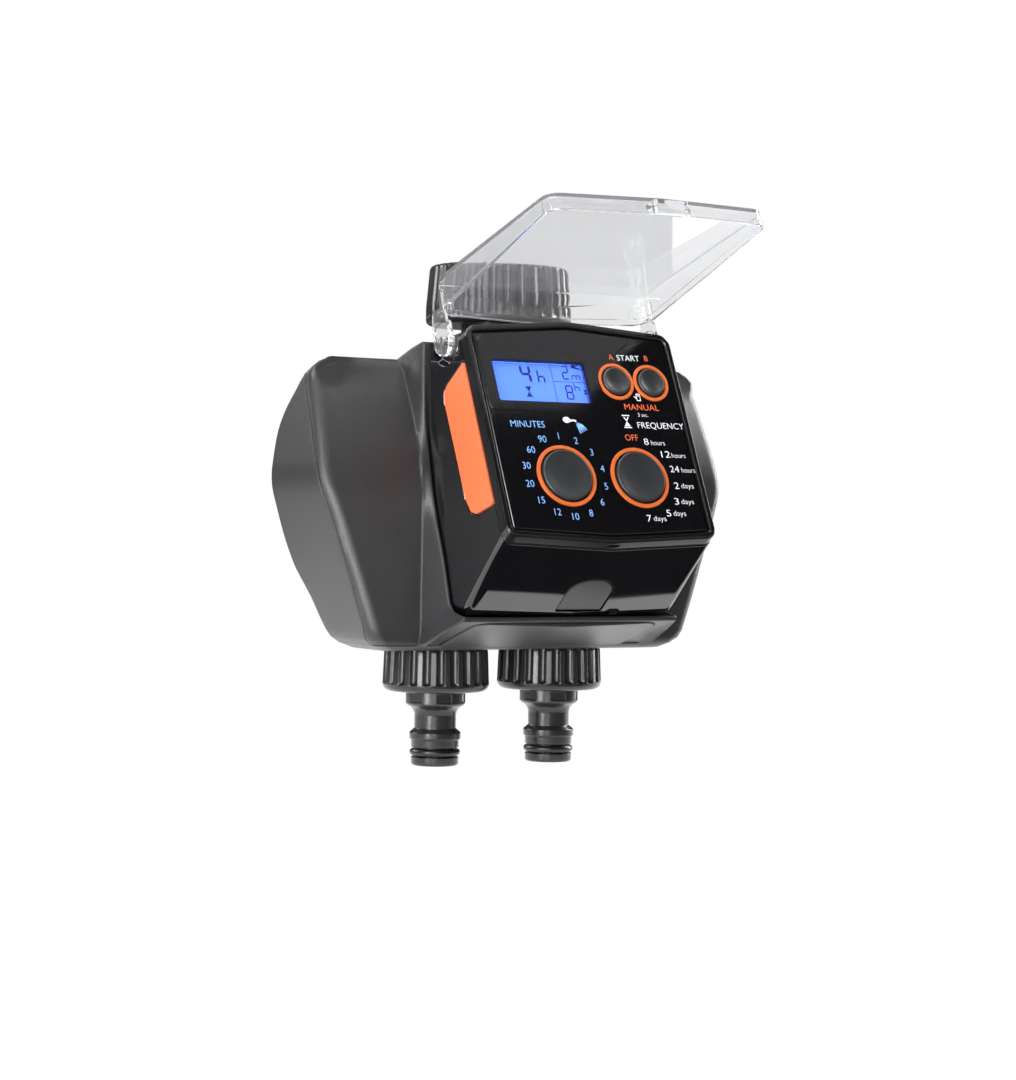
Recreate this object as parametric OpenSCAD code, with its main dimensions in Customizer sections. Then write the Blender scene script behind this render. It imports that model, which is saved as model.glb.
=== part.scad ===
// Two-outlet drip irrigation timer.
// It hangs from a threaded tap by its top nut and feeds two hose lines below.
// The wet half (nut, manifold, two solenoid valves, hose adaptors) sits in a two-part body.
// The dry half is a console that slides out forwards, with panel, battery and clear lid.
//
// Directions: +X right, +Y back, +Z up. Lengths in mm, angles in degrees.
// Heights below are measured up from the tips of the hose adaptors. hang() moves the
// whole design down, so that the origin lies on the inlet axis at the inlet nut's mouth.

/* [Body] */
// Height from the adaptor tips to the mouth of the inlet nut
unit_h = 167.7; // [166:0.1:170]
// Width at the widest point
body_w = 152.6; // [150:0.2:156]
// Height of the flat underside
body_bottom = 39.5; // [39.2:0.1:39.8]
// Height of the top edge
body_top = 134.5; // [134:0.1:135.5]
// Distance from the inlet axis to the flat back
body_back = 30; // [29:0.5:34]
// Thickness of the body shells
wall = 2.4; // [2:0.1:2.6]
// Gap along the seam between the body shells
seam_gap = 0.15; // [0.1:0.05:0.3]

/* [Console] */
// Width of the console
console_w = 77; // [76:0.2:77.4]
// Backward lean of the control panel from vertical
panel_lean = 25.1; // [24.5:0.1:25.5]
// Thickness of the console's walls
console_wall = 2; // [1.6:0.1:2.4]
// Thickness of the bezel that frames the panel
bezel_t = 4.4; // [4:0.1:4.8]
// Width of the bezel's rim
rim_w = 2.2; // [1.8:0.1:2.6]
// How far the console slides out of the body
console_travel = 45; // [30:1:60]

/* [Controls] */
// Radius of the two dials
dial_r = 8.7; // [8.4:0.1:8.8]
// Outside radius of the ring round a dial
dial_ring_r = 10.6; // [10:0.1:10.8]
// Radius of a start button
button_r = 4.9; // [4.6:0.1:5]
// Outside radius of the ring round a start button
button_ring_r = 6.6; // [6.2:0.1:6.6]
// Travel of a start button
button_travel = 1; // [0.6:0.1:1]
// Width of the release tab
tab_w = 16.6; // [15:0.2:17]
// Travel of the release tab
tab_travel = 1.5; // [1:0.1:1.8]

/* [Lid] */
// Wall thickness of the clear lid
lid_t = 1.1; // [1:0.1:1.3]
// Angle through which the lid turns from open to closed
lid_swing = 86; // [84:0.5:88]
// Radius of the lid's hinge pins
lid_pin_r = 1.2; // [1:0.1:1.2]

/* [Water connections] */
// Crest radius of the inlet thread, for a one inch tap
inlet_crest_r = 15.15; // [15.1:0.05:15.2]
// Outside radius of the inlet nut
inlet_nut_r = 24.5; // [24:0.1:25]
// Distance between the two outlets
outlet_spacing = 43.7; // [43:0.1:45]
// Outside radius of a hose adaptor's nut
adaptor_nut_r = 17.8; // [17.5:0.1:18]
// Radius of the catch rim that a quick connector grips
catch_rim_r = 8.6; // [8.5:0.05:8.7]
// Running clearance of pieces that turn or slide
running_gap = 0.08; // [0.05:0.01:0.1]

/* [Valves] */
// Distance of each valve from the middle
valve_x = 48; // [47.5:0.1:48.5]
// Distance of the valves behind the inlet axis
valve_y = 4; // [3.5:0.1:4.5]
// Travel of a valve plunger
plunger_travel = 1.6; // [1:0.1:2]

/* [Hidden] */
$fn = 64;
hull_fn = 32;
half_w = body_w / 2;
body_mid_z = 94;
console_half = console_w / 2;
bay_half = console_half + 0.4;
collar_half = 41.5;
panel_y = -62;
panel_z = 112;
bezel_half = 38.3;
bay_back_y = -22.5;
console_back_y = -24;
pivot_up = 36.4;
pivot_in = -13.2;
pivot_y = panel_y + pivot_up * sin(panel_lean) - pivot_in * cos(panel_lean);
pivot_z = panel_z + pivot_up * cos(panel_lean) + pivot_in * sin(panel_lean);
black = [0.09, 0.09, 0.1];
body_grey = [0.25, 0.25, 0.26];
nut_grey = [0.33, 0.33, 0.35];
orange = [0.93, 0.45, 0.2];
steel = [0.75, 0.75, 0.77];
brass = [0.8, 0.65, 0.3];
white = [0.85, 0.85, 0.82];

// ---------- outlines ----------

function unit(v) = v / norm(v);

// The arc that rounds corner b of the path a, b, c with radius r
function corner_arc(a, b, c, r, steps) =
    let (u = unit(a - b), w = unit(c - b), half = acos(u * w) / 2,
         mid = b + unit(u + w) * r / sin(half),
         start = b + u * r / tan(half) - mid, end = b + w * r / tan(half) - mid,
         from = atan2(start.y, start.x),
         sweep = (atan2(end.y, end.x) - from + 540) % 360 - 180)
    [for (i = [0:steps]) mid + r * [cos(from + sweep * i / steps), sin(from + sweep * i / steps)]];

// A convex outline with all its corners rounded, by one radius or by a list of radii
function rounded(points, radii, steps = 4) =
    let (count = len(points))
    [for (i = [0:count - 1])
        let (r = is_list(radii) ? radii[i] : radii)
        each corner_arc(points[(i + count - 1) % count], points[i], points[(i + 1) % count], r, steps)];

// A convex outline moved outwards by d, or inwards where d is negative
function grow(points, d) =
    let (count = len(points))
    [for (i = [0:count - 1])
        let (b = points[i], u = unit(points[(i + count - 1) % count] - b),
             w = unit(points[(i + 1) % count] - b), half = acos(u * w) / 2)
        b - unit(u + w) * d / sin(half)];

// Body seen from the front: a wide hexagon, widest at mid height
front_outline = [
    [-58, body_bottom], [58, body_bottom], [half_w + 0.45, body_mid_z],
    [73.6, body_top], [-73.6, body_top], [-half_w - 0.45, body_mid_z]
];
front_radii = [9, 9, 25, 8, 8, 25];

// Body seen from the side, at its outer edges
lobe_profile = [
    [-24, body_bottom], [3, body_bottom], [9, 48], [19.5, 70], [17, 100], [11.5, 114],
    [-8.8, body_top], [-19, 108], [-24.2, 94], [-26.4, 80], [-27.3, 48]
];

// Body seen from the side, through its thicker middle
core_half = 46;
core_profile = [
    [-26, body_bottom], [20, body_bottom], [body_back, 52], [body_back, 118], [20, body_top],
    [-11.5, body_top], [-18.5, 122], [-27, 99], [-28.7, 86], [-28.9, 48]
];

// Line of the seam between the shells, seen from the side
seam_line = [
    [-21, 20], [-21, 40], [-23.8, 48], [-23.8, 78], [-21.6, 93], [-15.5, 107.7],
    [-5.5, 127.5], [-3, body_top], [-3, 160]
];

// Collar that surrounds the console, seen from the side
collar_profile = [
    [-21.7, 41.2], [-27, 40.7], [-51, 49.4], [-51.8, 51.2], [-46, 52.8], [-42.5, 55.5],
    [-37.3, 70], [-27.7, 91], [-23.4, 101], [-22.6, 139.6], [-8, 134.4], [-8, 131.8],
    [-20.1, 136.2]
];

// Control panel seen square on, with shallow roof shapes at the top and the bottom
panel_outline = [
    [-bezel_half, -37.8], [0, -39.95], [bezel_half, -37.8],
    [bezel_half, 35.3], [0, 38.6], [-bezel_half, 35.3]
];

// Front edge of the console shell: the same, but a little lower at the bottom
shell_outline = [
    [-bezel_half, -39], [0, -41.1], [bezel_half, -39],
    [bezel_half, 35.3], [0, 38.6], [-bezel_half, 35.3]
];

// Orange badge, seen from the side, just behind the bezel
badge_outline = [
    [-68.5, 87.2], [-58, 84], [-54.4, 84.6], [-50.7, 88.5], [-35.6, 119.4],
    [-35.2, 122.5], [-37.3, 125.1], [-47.7, 132]
];

// ---------- placing ----------

// Puts the origin at the inlet nut's mouth
module hang() {
    translate([0, 0, -unit_h]) children();
}

// Panel frame: x right, y up along the panel, z out of its face
module on_panel() {
    translate([0, panel_y, panel_z]) rotate([90 - panel_lean, 0, 0]) children();
}

// A point of the panel frame in the frame of the whole unit
function panel_point(x, y, z) = [
    x, panel_y + y * sin(panel_lean) - z * cos(panel_lean),
    panel_z + y * cos(panel_lean) + z * sin(panel_lean)
];

// Frame on the console's sloping lower wall: y up the slope, z out of it
lower_wall_turn = 139.8;
module on_lower_wall() {
    translate([1.5, -64.45, 63.6]) rotate([lower_wall_turn, 0, 0]) children();
}

// Stretches a side-view outline (y, z) across the width
module across(half, outline) {
    rotate([90, 0, 90]) linear_extrude(2 * half, center = true) polygon(outline);
}

// A thin side-view slice at x
module slice_x(x, outline) {
    translate([x, 0, 0]) across(0.01, outline);
}

// A thin front-view slice at y
module slice_y(y, outline) {
    translate([0, y, 0]) rotate([90, 0, 0]) linear_extrude(0.02, center = true) polygon(outline);
}

// A prism of the panel outline grown by d, between two depths along the panel's normal
module panel_prism(d, from, to, corner = 4) {
    on_panel() translate([0, 0, from]) linear_extrude(to - from)
        polygon(rounded(grow(panel_outline, d), corner));
}

module tube(outer, inner, length) {
    difference() {
        cylinder(r = outer, h = length);
        translate([0, 0, -1]) cylinder(r = inner, h = length + 2);
    }
}

// A straight round rod between two points
module rod(from, to, r) {
    run = to - from;
    translate(from) rotate([0, acos(run.z / norm(run)), atan2(run.y, run.x)])
        cylinder(r = r, h = norm(run), $fn = 24);
}

// A round wire through a list of points
module wire(points, r) {
    for (i = [0:len(points) - 2]) rod(points[i], points[i + 1], r);
    for (i = [1:len(points) - 2]) translate(points[i]) sphere(r = r + 0.06, $fn = 24);
}

// A cross-headed screw, head up, with its shank down the z axis
module screw(head_r, shank_r, length) {
    difference() {
        union() {
            cylinder(r = head_r, h = head_r * 0.7);
            translate([0, 0, -length]) cylinder(r = shank_r, h = length + 0.1);
        }
        for (turn = [0, 90]) rotate(turn)
            translate([-head_r * 0.6, -0.35, head_r * 0.35]) cube([head_r * 1.2, 0.7, head_r]);
    }
}

// ---------- body ----------

contact_xs = [-15, -5, 5, 15];

// Position across, height and depth of the screw posts
screw_posts = [[66.5, 118, 13], [-66.5, 118, 13], [54, 51, 9], [-54, 51, 9]];
post_r = 4.6;
lug_x = 22;

module body_solid(inset) {
    intersection() {
        hull() {
            for (side = [-1, 1]) {
                slice_x(side * half_w, grow(lobe_profile, -inset));
                slice_x(side * core_half, grow(core_profile, -inset));
            }
        }
        rotate([90, 0, 0]) linear_extrude(200, center = true)
            polygon(rounded(grow(front_outline, -inset), [for (r = front_radii) r - inset]));
    }
}

// Everything on the front side of the seam, moved back by shift
module front_zone(shift) {
    across(100, concat([for (p = seam_line) p + [shift, 0]], [[-130, 160], [-130, 20]]));
}

module post_rows() {
    for (post = screw_posts) translate([post.x, 0, post.y]) children();
}

module rear_shell() {
    chin_half = 33.8;
    color(body_grey) difference() {
        union() {
            difference() {
                body_solid(0);
                body_solid(wall);
                front_zone(0);
            }
            intersection() {
                body_solid(0.5);
                union() {
                    post_rows() translate([0, 40, 0]) rotate([90, 0, 0]) cylinder(r = post_r, h = 42);
                    for (x = [-lug_x, lug_x]) translate([x, 40, 104]) rotate([90, 0, 0])
                        cylinder(r = 4, h = 22);
                }
            }
            // chin under the console, in front of the outlets
            across(chin_half, [[-50, 49], [-24, 40.4], [-14, body_bottom], [-14, 42], [-24, 43], [-42, 49]]);
            for (side = [-1, 1]) translate([side * (chin_half - 1), 0, 0])
                across(1, [[-50, 49], [-24, 40.4], [-18, 40], [-18, 49]]);
        }
        translate([0, 0, 120]) cylinder(r = 13.4, h = 30);
        for (side = [-1, 1]) translate([side * outlet_spacing / 2, 0, 30]) cylinder(r = 13.8, h = 20);
        for (post = screw_posts) translate([post.x, 0, post.y]) rotate([90, 0, 0]) {
            cylinder(r = 1.8, h = 100, center = true);
            translate([0, 0, -60 - post.z + 8]) cylinder(r = 3.4, h = 60);
        }
        for (x = [-lug_x, lug_x]) translate([x, 28, 104]) rotate([90, 0, 0]) cylinder(r = 1.2, h = 12);
    }
}

module front_shell() {
    color(body_grey) difference() {
        union() {
            intersection() {
                difference() {
                    body_solid(0);
                    body_solid(wall);
                }
                front_zone(-seam_gap);
            }
            intersection() {
                post_rows() translate([0, -2.2, 0]) rotate([90, 0, 0]) cylinder(r = post_r, h = 40);
                body_solid(0.5);
            }
            across(collar_half, collar_profile);
        }
        // bay that the console slides into
        across(bay_half, [[bay_back_y, 51.4], [-90, 51.4], [-90, 170], [bay_back_y, 170]]);
        // clearance over the chin
        translate([-34, -60, 30]) cube([68, 60 - 16, 49.2 - 30]);
        post_rows() rotate([90, 0, 0]) translate([0, 0, -10]) cylinder(r = 1.35, h = 26);
        // way through for the inlet pipe and the contacts
        translate([0, 0, 120]) cylinder(r = 13.4, h = 30);
        for (x = contact_xs) translate([x, -10, 112]) rotate([90, 0, 0]) {
            cylinder(r = 1.5, h = 16);
            cylinder(r = 2.65, h = 9.3);
        }
    }
}

module shell_screws() {
    color(steel) for (post = screw_posts)
        translate([post.x, post.z - 8, post.y]) rotate([-90, 0, 0]) screw(2.9, 1.3, 17);
}

// ---------- water path ----------

valve_seat_z = 101;
bonnet_z = 104;
coil_z = 111;

// Places a copy at each valve
module at_valves() {
    for (side = [-1, 1]) at_valve(side) children();
}

module at_valve(side) {
    translate([side * valve_x, valve_y, 0]) children();
}

module flow_passages() {
    inlet_bore_r = 9;
    duct_r = 6.5;
    translate([0, 0, 86]) cylinder(r = inlet_bore_r, h = 80);
    translate([0, 2, 92]) rotate([0, 90, 0]) cylinder(r = 7, h = 2 * valve_x - 26, center = true);
    at_valves() {
        difference() {
            translate([0, 0, 86]) cylinder(r = 15.5, h = 40);
            translate([0, 0, 80]) cylinder(r = 9, h = valve_seat_z - 80);
        }
        translate([0, 0, 70]) cylinder(r = duct_r, h = 40);
    }
    for (side = [-1, 1]) {
        translate([side * outlet_spacing / 2, 0, 20]) cylinder(r = 8, h = 52);
        translate([side * (outlet_spacing / 2 - 2), 2, 70]) rotate([0, side * 90, 0])
            cylinder(r = duct_r, h = valve_x - outlet_spacing / 2 + 4);
    }
}

module manifold() {
    color(white) difference() {
        union() {
            translate([0, 0, 82]) cylinder(r = 12, h = 52);
            translate([0, 2, 92]) rotate([0, 90, 0]) cylinder(r = 9.5, h = 2 * valve_x - 26, center = true);
            at_valves() {
                translate([0, 0, 82]) cylinder(r = 18, h = 20);
                translate([0, 0, 64]) cylinder(r = 9, h = 20);
            }
            for (side = [-1, 1]) {
                translate([side * outlet_spacing / 2, 0, 42.3]) cylinder(r = 12, h = 36);
                translate([side * outlet_spacing / 2, 0, 29.6]) cylinder(r = 12.6, h = 13);
                translate([side * (outlet_spacing / 2 - 2), 2, 70]) rotate([0, side * 90, 0])
                    cylinder(r = 9, h = valve_x - outlet_spacing / 2 + 2);
                translate([side * lug_x, 10, 104]) rotate([-90, 0, 0]) cylinder(r = 4, h = 7.9);
                translate([side * lug_x - 4, 10, 96]) cube([8, 4, 8]);
            }
        }
        flow_passages();
        at_valves() for (turn = [45:90:315]) rotate(turn) translate([15.8, 0, 92]) cylinder(r = 0.9, h = 20);
        for (side = [-1, 1]) translate([side * lug_x, 9, 104]) rotate([-90, 0, 0]) cylinder(r = 1.5, h = 20);
    }
}

module manifold_screws() {
    color(steel) for (side = [-1, 1])
        translate([side * lug_x, 9.9, 104]) rotate([90, 0, 0]) screw(2.8, 1.15, 17);
}

// Pipe stub that carries the swivelling inlet nut
module inlet_tailpiece() {
    color(white) translate([0, 0, 134]) difference() {
        union() {
            cylinder(r = 13, h = 3);
            cylinder(r = 12.5, h = 18);
            translate([0, 0, 16]) cylinder(r = 14.6, h = 3);
        }
        translate([0, 0, -1]) cylinder(r = 9, h = 30);
        translate([0, 0, 16.5]) cylinder(r = 11, h = 3);
    }
}

nut_h = 20.2;
thread_pitch = 2.31;
thread_depth = 11.9;

// Side view of the inlet nut: it tapers a little towards its mouth
module inlet_nut() {
    lip_r = 12.5 + running_gap;
    groove_r = 16.6;
    flute_lean = 5;
    color(nut_grey) difference() {
        translate([0, 0, unit_h - nut_h]) rotate_extrude()
            polygon([[lip_r, 0], [inlet_nut_r - 1.5, 0], [inlet_nut_r, 1.5], [inlet_nut_r, 6],
                     [inlet_nut_r - 1.2, nut_h - 1], [inlet_nut_r - 2.2, nut_h], [lip_r, nut_h]]);
        // room for the tailpiece's flange and the washer, then the thread
        translate([0, 0, unit_h - nut_h + 2.3]) cylinder(r = 15.8, h = nut_h - 2.3 - thread_depth);
        translate([0, 0, unit_h - thread_depth - 0.1]) cylinder(r = inlet_crest_r, h = thread_depth + 1);
        for (turn = [0:3]) translate([0, 0, unit_h - 10 + turn * thread_pitch])
            cylinder(r = groove_r, h = thread_pitch / 2);
        for (turn = [0:11.25:359]) rotate(turn) translate([inlet_nut_r + 0.4, 0, unit_h - nut_h + 3.5])
            rotate([0, -flute_lean, 0]) cylinder(r = 1.3, h = 30, $fn = 24);
    }
}

module inlet_washer() {
    color(black) translate([0, 0, 153.1]) tube(14.8, 9.8, 2.4);
}

// Strainer cup that drops into the mouth of the tailpiece
module inlet_filter() {
    color(white) translate([0, 0, 135]) difference() {
        union() {
            cylinder(r = 7, h = 17.5);
            translate([0, 0, 15.6]) cylinder(r = 10.8, h = 2.3);
        }
        translate([0, 0, 1]) cylinder(r = 6, h = 20);
        for (level = [3:3:12]) for (turn = [0:60:359]) rotate(turn)
            translate([5, -1.6, level]) cube([3, 3.2, 1.8]);
    }
}

module diaphragm() {
    color(black) difference() {
        union() {
            translate([0, 0, 102.1]) cylinder(r = 17.6, h = 1.8);
            translate([0, 0, valve_seat_z + 0.1]) cylinder(r = 9.5, h = 4);
        }
        for (turn = [45:90:315]) rotate(turn) translate([15.8, 0, 95]) cylinder(r = 1.3, h = 20);
    }
}

module valve_bonnet() {
    color(white) difference() {
        union() {
            translate([0, 0, bonnet_z]) cylinder(r = 17.6, h = 7);
            translate([0, 0, coil_z - 0.1]) cylinder(r = 5.5, h = 16);
        }
        translate([0, 0, bonnet_z - 1]) cylinder(r = 12.5, h = 4.4);
        translate([0, 0, bonnet_z]) cylinder(r = 4 + running_gap, h = 21.5);
        for (turn = [45:90:315]) rotate(turn) translate([15.8, 0, 95]) cylinder(r = 1.3, h = 20);
    }
}

module bonnet_screws() {
    color(steel) at_valves() for (turn = [45:90:315]) rotate(turn)
        translate([15.8, 0, bonnet_z + 7]) screw(1.7, 0.85, 14);
}

module coil() {
    color(orange) translate([0, 0, coil_z + 0.1]) tube(10, 5.6, 15);
}

// Steel plunger, closed position, resting on the diaphragm
module plunger() {
    color(steel) difference() {
        translate([0, 0, 105.2]) cylinder(r = 4, h = 14.6);
        translate([0, 0, 115.8]) cylinder(r = 2.6, h = 6);
    }
}

module plunger_spring() {
    turns = 5;
    color(steel) for (i = [0:turns - 1]) translate([0, 0, 116.4 + i * 1.95])
        rotate_extrude($fn = 32) translate([1.9, 0]) circle(r = 0.35, $fn = 16);
}

oring_z = 4.45;
oring_r = 1.15;

// Hose adaptor: fluted nut and quick-connect nipple in one moulding
module hose_adaptor() {
    bore_r = 4.8;
    nut_top = body_bottom - 0.3;
    color(nut_grey) difference() {
        rotate_extrude() polygon(concat(
            [[bore_r, 0], [7, 0]],
            [for (a = [-60:30:0]) [7 + 0.95 * cos(a), 0.95 + 0.95 * sin(a)]],
            [[7.95, 2.8], [6.1, 3], [6.1, 5.9], [7.95, 6.1], [8.05, 8.6], [catch_rim_r - 0.2, 8.8],
             [catch_rim_r, 9.2], [catch_rim_r, 10.8], [7, 12.4], [7, 16.6]],
            [for (a = [170:-20:110]) [10.6 + 3.6 * cos(a), 16.6 + 3.6 * sin(a)]],
            [[9.96, 20.4], [9.96, 24.8], [adaptor_nut_r - 2.6, 24.8]],
            [for (a = [-60:30:0]) [adaptor_nut_r - 2.4 + 2.4 * cos(a), 27.2 + 2.4 * sin(a)]],
            [[adaptor_nut_r - 0.5, nut_top], [12.7, nut_top], [12.7, 27.3], [bore_r, 27.3]]));
        for (turn = [0:15:359]) rotate(turn) translate([adaptor_nut_r + 0.25, 0, 27.6])
            cylinder(r = 1.15, h = 20, $fn = 24);
    }
}

module adaptor_washers() {
    color(black) for (side = [-1, 1]) translate([side * outlet_spacing / 2, 0, 27.3])
        tube(12.5, 7.5, 2.2);
}

module nipple_orings() {
    color(black) for (side = [-1, 1]) translate([side * outlet_spacing / 2, 0, oring_z])
        rotate_extrude() translate([catch_rim_r - 0.16 - oring_r, 0]) circle(r = oring_r, $fn = 24);
}

// ---------- console ----------

// Outer form of the console behind the bezel, with its skin moved inwards by inset
module console_solid(inset) {
    half = console_half - inset;
    hull() {
        on_panel() translate([0, 0, -bezel_t - 0.02 - inset]) linear_extrude(0.02)
            polygon(rounded(grow(shell_outline, 0.2 - inset), 4));
        slice_y(console_back_y - 0.01, [[-half, 52 + inset], [half, 52 + inset], [half, 140 - inset],
                                        [0, 141.5 - inset], [-half, 140 - inset]]);
        across(half, [[-50.7, 52 + inset], [-40, 52 + inset], [-40, 60]]);
    }
}

console_screw_places = [[-33.2, 60], [33.2, 60], [-33.2, 129], [33.2, 129]];
opening_half = 35.8;

module at_console_screws(y) {
    for (place = console_screw_places) translate([place.x, y, place.y]) rotate([90, 0, 0]) children();
}

// Space in which a lid arm turns, as a side view
module arm_recess(side) {
    reach = 13;
    translate([side * 38.6, 0, 0]) {
        across(1.7, concat([[pivot_y, pivot_z]],
            [for (a = [40:12:184]) [pivot_y + reach * cos(a), pivot_z + reach * sin(a)]]));
        translate([0, pivot_y, pivot_z]) rotate([0, 90, 0]) cylinder(r = 6.2, h = 3.4, center = true);
        on_panel() translate([-1.7, pivot_up - 6, pivot_in]) cube([3.4, 12, 16]);
    }
}

module console_shell() {
    color(black) difference() {
        union() {
            difference() {
                console_solid(0);
                console_solid(console_wall);
            }
            intersection() {
                console_solid(0);
                union() {
                    for (side = [-1, 1]) translate([side * 35.3, pivot_y, pivot_z - 1.5])
                        rotate([0, 90, 0]) cylinder(r = 12.5, h = 5.4, center = true);
                    at_console_screws(console_back_y - 2.1) cylinder(r = 3.6, h = 10);
                }
            }
        }
        // open back, closed by the console back
        translate([-opening_half, console_back_y - 2.1, 56]) cube([2 * opening_half, 10, 77]);
        // open front, closed by the bezel and the panel
        panel_prism(-4, -12, 1);
        for (side = [-1, 1]) {
            arm_recess(side);
            translate([side * 33, pivot_y, pivot_z]) rotate([0, 90, 0])
                cylinder(r = lid_pin_r, h = 14, center = true);
            // seat of the side badge
            translate([side * 38.9, 0, 0]) across(1, grow(badge_outline, 0.1));
        }
        at_console_screws(-20) cylinder(r = 1, h = 16);
        on_lower_wall() translate([0, 0, -4]) linear_extrude(8) tab_shape(0.3);
    }
}

module side_badges() {
    color(orange) for (side = [-1, 1]) translate([side * 38.45, 0, 0]) across(0.5, badge_outline);
}

// Plate that closes the console's back, with an open tray for the battery
module console_back() {
    plate_half = opening_half - 0.2;
    color(black) difference() {
        union() {
            translate([-plate_half, console_back_y - 2, 56.2]) cube([2 * plate_half, 2, 76.6]);
            translate([-29, console_back_y - 20.5, 62]) cube([58, 19.5, 31]);
        }
        translate([-27, console_back_y - 18.5, 64]) cube([54, 30, 27]);
        at_console_screws(-20) cylinder(r = 1.3, h = 16);
        at_console_screws(console_back_y + 1) cylinder(r = 2.1, h = 2.4);
        for (x = contact_xs) translate([x, -20, 112]) rotate([90, 0, 0]) cylinder(r = 2.4, h = 16);
        // way out for the battery leads
        translate([22.4, -41.5, 90]) cube([4.2, 5.5, 4]);
    }
}

module console_screws() {
    color(steel) for (place = console_screw_places)
        translate([place.x, console_back_y - 1.4, place.y]) rotate([-90, 0, 0]) screw(1.9, 0.95, 8);
}

// Rubber cord between the console's back edge and the bay wall
module console_seal() {
    color(black) translate([0, console_back_y + 1.4, 0]) rotate([90, 0, 0]) linear_extrude(1.4) difference() {
        polygon([[-37.8, 53], [37.8, 53], [37.8, 139], [-37.8, 139]]);
        polygon([[-36.2, 54.6], [36.2, 54.6], [36.2, 134.4], [-36.2, 134.4]]);
    }
}

module bezel() {
    color(black) difference() {
        panel_prism(0, -bezel_t, 0);
        panel_prism(-rim_w, -2.7, 1, 3);
        panel_prism(-rim_w - 2.6, -bezel_t - 1, 1, 2);
    }
}

minutes_at = [-12.6, -17];
frequency_at = [14.4, -17.1];
button_a_at = [13.9, 17.3];
button_b_at = [27.2, 17.3];
lcd_low = [-30.7, 9.1];
lcd_high = [2.8, 23.3];
panel_face = -0.6;

module panel_hole(at, r) {
    translate([at.x, at.y, -20]) cylinder(r = r, h = 40);
}

module control_panel() {
    color(black) difference() {
        panel_prism(-rim_w - 0.4, -2.6, panel_face, 3);
        on_panel() {
            for (at = [minutes_at, frequency_at]) {
                panel_hole(at, dial_r + 0.35);
                translate([at.x, at.y, -1.6]) cylinder(r = dial_ring_r + 0.02, h = 4);
            }
            for (at = [button_a_at, button_b_at]) {
                panel_hole(at, button_r + 0.2);
                translate([at.x, at.y, -1.6]) cylinder(r = button_ring_r + 0.02, h = 4);
            }
            translate([lcd_low.x, lcd_low.y, -10]) cube([lcd_high.x - lcd_low.x, lcd_high.y - lcd_low.y, 20]);
        }
    }
}

module lcd_window() {
    color([0.6, 0.75, 0.9, 0.5]) on_panel() translate([lcd_low.x + 0.1, lcd_low.y + 0.1, -2.4])
        cube([lcd_high.x - lcd_low.x - 0.2, lcd_high.y - lcd_low.y - 0.2, 1.4]);
}

module lcd_plate(margin, from, to) {
    on_panel() translate([lcd_low.x - margin, lcd_low.y - margin, from])
        cube([lcd_high.x - lcd_low.x + 2 * margin, lcd_high.y - lcd_low.y + 2 * margin, to - from]);
}

module lcd_glass() {
    color([0.35, 0.5, 1]) lcd_plate(2, -5.4, -2.8);
}

module backlight() {
    color(white) lcd_plate(1.6, -8.4, -5.5);
}

board_top = -12;

module circuit_board() {
    color("darkgreen") on_panel() difference() {
        translate([-31, -32.5, board_top - 1.6]) cube([62, 58, 1.6]);
        for (x = [-28.5, 28.5], y = [-30, 23]) panel_hole([x, y], 1.4);
    }
}

module rotary_switches() {
    color([0.3, 0.3, 0.3]) on_panel() for (at = [minutes_at, frequency_at]) difference() {
        translate([at.x - 6, at.y - 6, board_top]) cube([12, 12, 4]);
        translate([at.x, at.y, board_top + 1]) cylinder(r = 3 + running_gap, h = 10);
    }
}

module tact_switches() {
    color(steel) on_panel() for (at = [button_a_at, button_b_at]) {
        translate([at.x - 3, at.y - 3, board_top]) cube([6, 6, 3.5]);
        translate([at.x, at.y, board_top + 3.4]) cylinder(r = 1.7, h = 2.2);
    }
}

module ring_pair(places, outer, inner) {
    on_panel() for (at = places) translate([at.x, at.y, -1.6]) tube(outer, inner, 1.4);
}

module dial_rings() {
    color(orange) ring_pair([minutes_at, frequency_at], dial_ring_r, dial_r + 0.35);
}

module button_rings() {
    color(orange) ring_pair([button_a_at, button_b_at], button_ring_r, button_r + 0.2);
}

module dial(at) {
    color(body_grey) on_panel() translate([at.x, at.y, -7.2]) difference() {
        cylinder(r = dial_r, h = 7.9);
        translate([0, 0, -1]) cylinder(r = 2, h = 5);
    }
}

module dial_shaft(at) {
    color(white) on_panel() translate([at.x, at.y, board_top + 1.1]) {
        cylinder(r = 3, h = 3.6);
        cylinder(r = 1.98, h = 7);
    }
}

module start_button(at) {
    color(body_grey) on_panel() translate([at.x, at.y, 0]) {
        translate([0, 0, -3.8]) cylinder(r = button_r, h = 4.2);
        translate([0, 0, -4.2]) cylinder(r = button_r + 0.9, h = 1.2);
        translate([0, 0, -5.3]) cylinder(r = 2.2, h = 1.2);
    }
}

// Outline of the release tab: straight lower edge, round upper corners
module tab_shape(d) {
    polygon(rounded(grow([[-tab_w / 2, -15.2], [tab_w / 2, -15.2], [tab_w / 2, 0], [-tab_w / 2, 0]], d), 1.2, 3));
}

// Push tab with its latch hook and two spring prongs, all one moulding
module release_tab() {
    color(body_grey) on_lower_wall() {
        translate([0, 0, -2.4]) linear_extrude(2.6) tab_shape(0);
        translate([-4, -13.4, -4.4]) cube([8, 2, 2.1]);
        for (side = [-1, 1]) translate([side * 6 - 0.6, -8, -7]) cube([1.2, 4, 4.7]);
    }
}

module lid_pins() {
    color(steel) for (side = [-1, 1]) translate([side * 36.3, pivot_y, pivot_z]) rotate([0, 90, 0])
        cylinder(r = lid_pin_r, h = 6.8, center = true);
}

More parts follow.
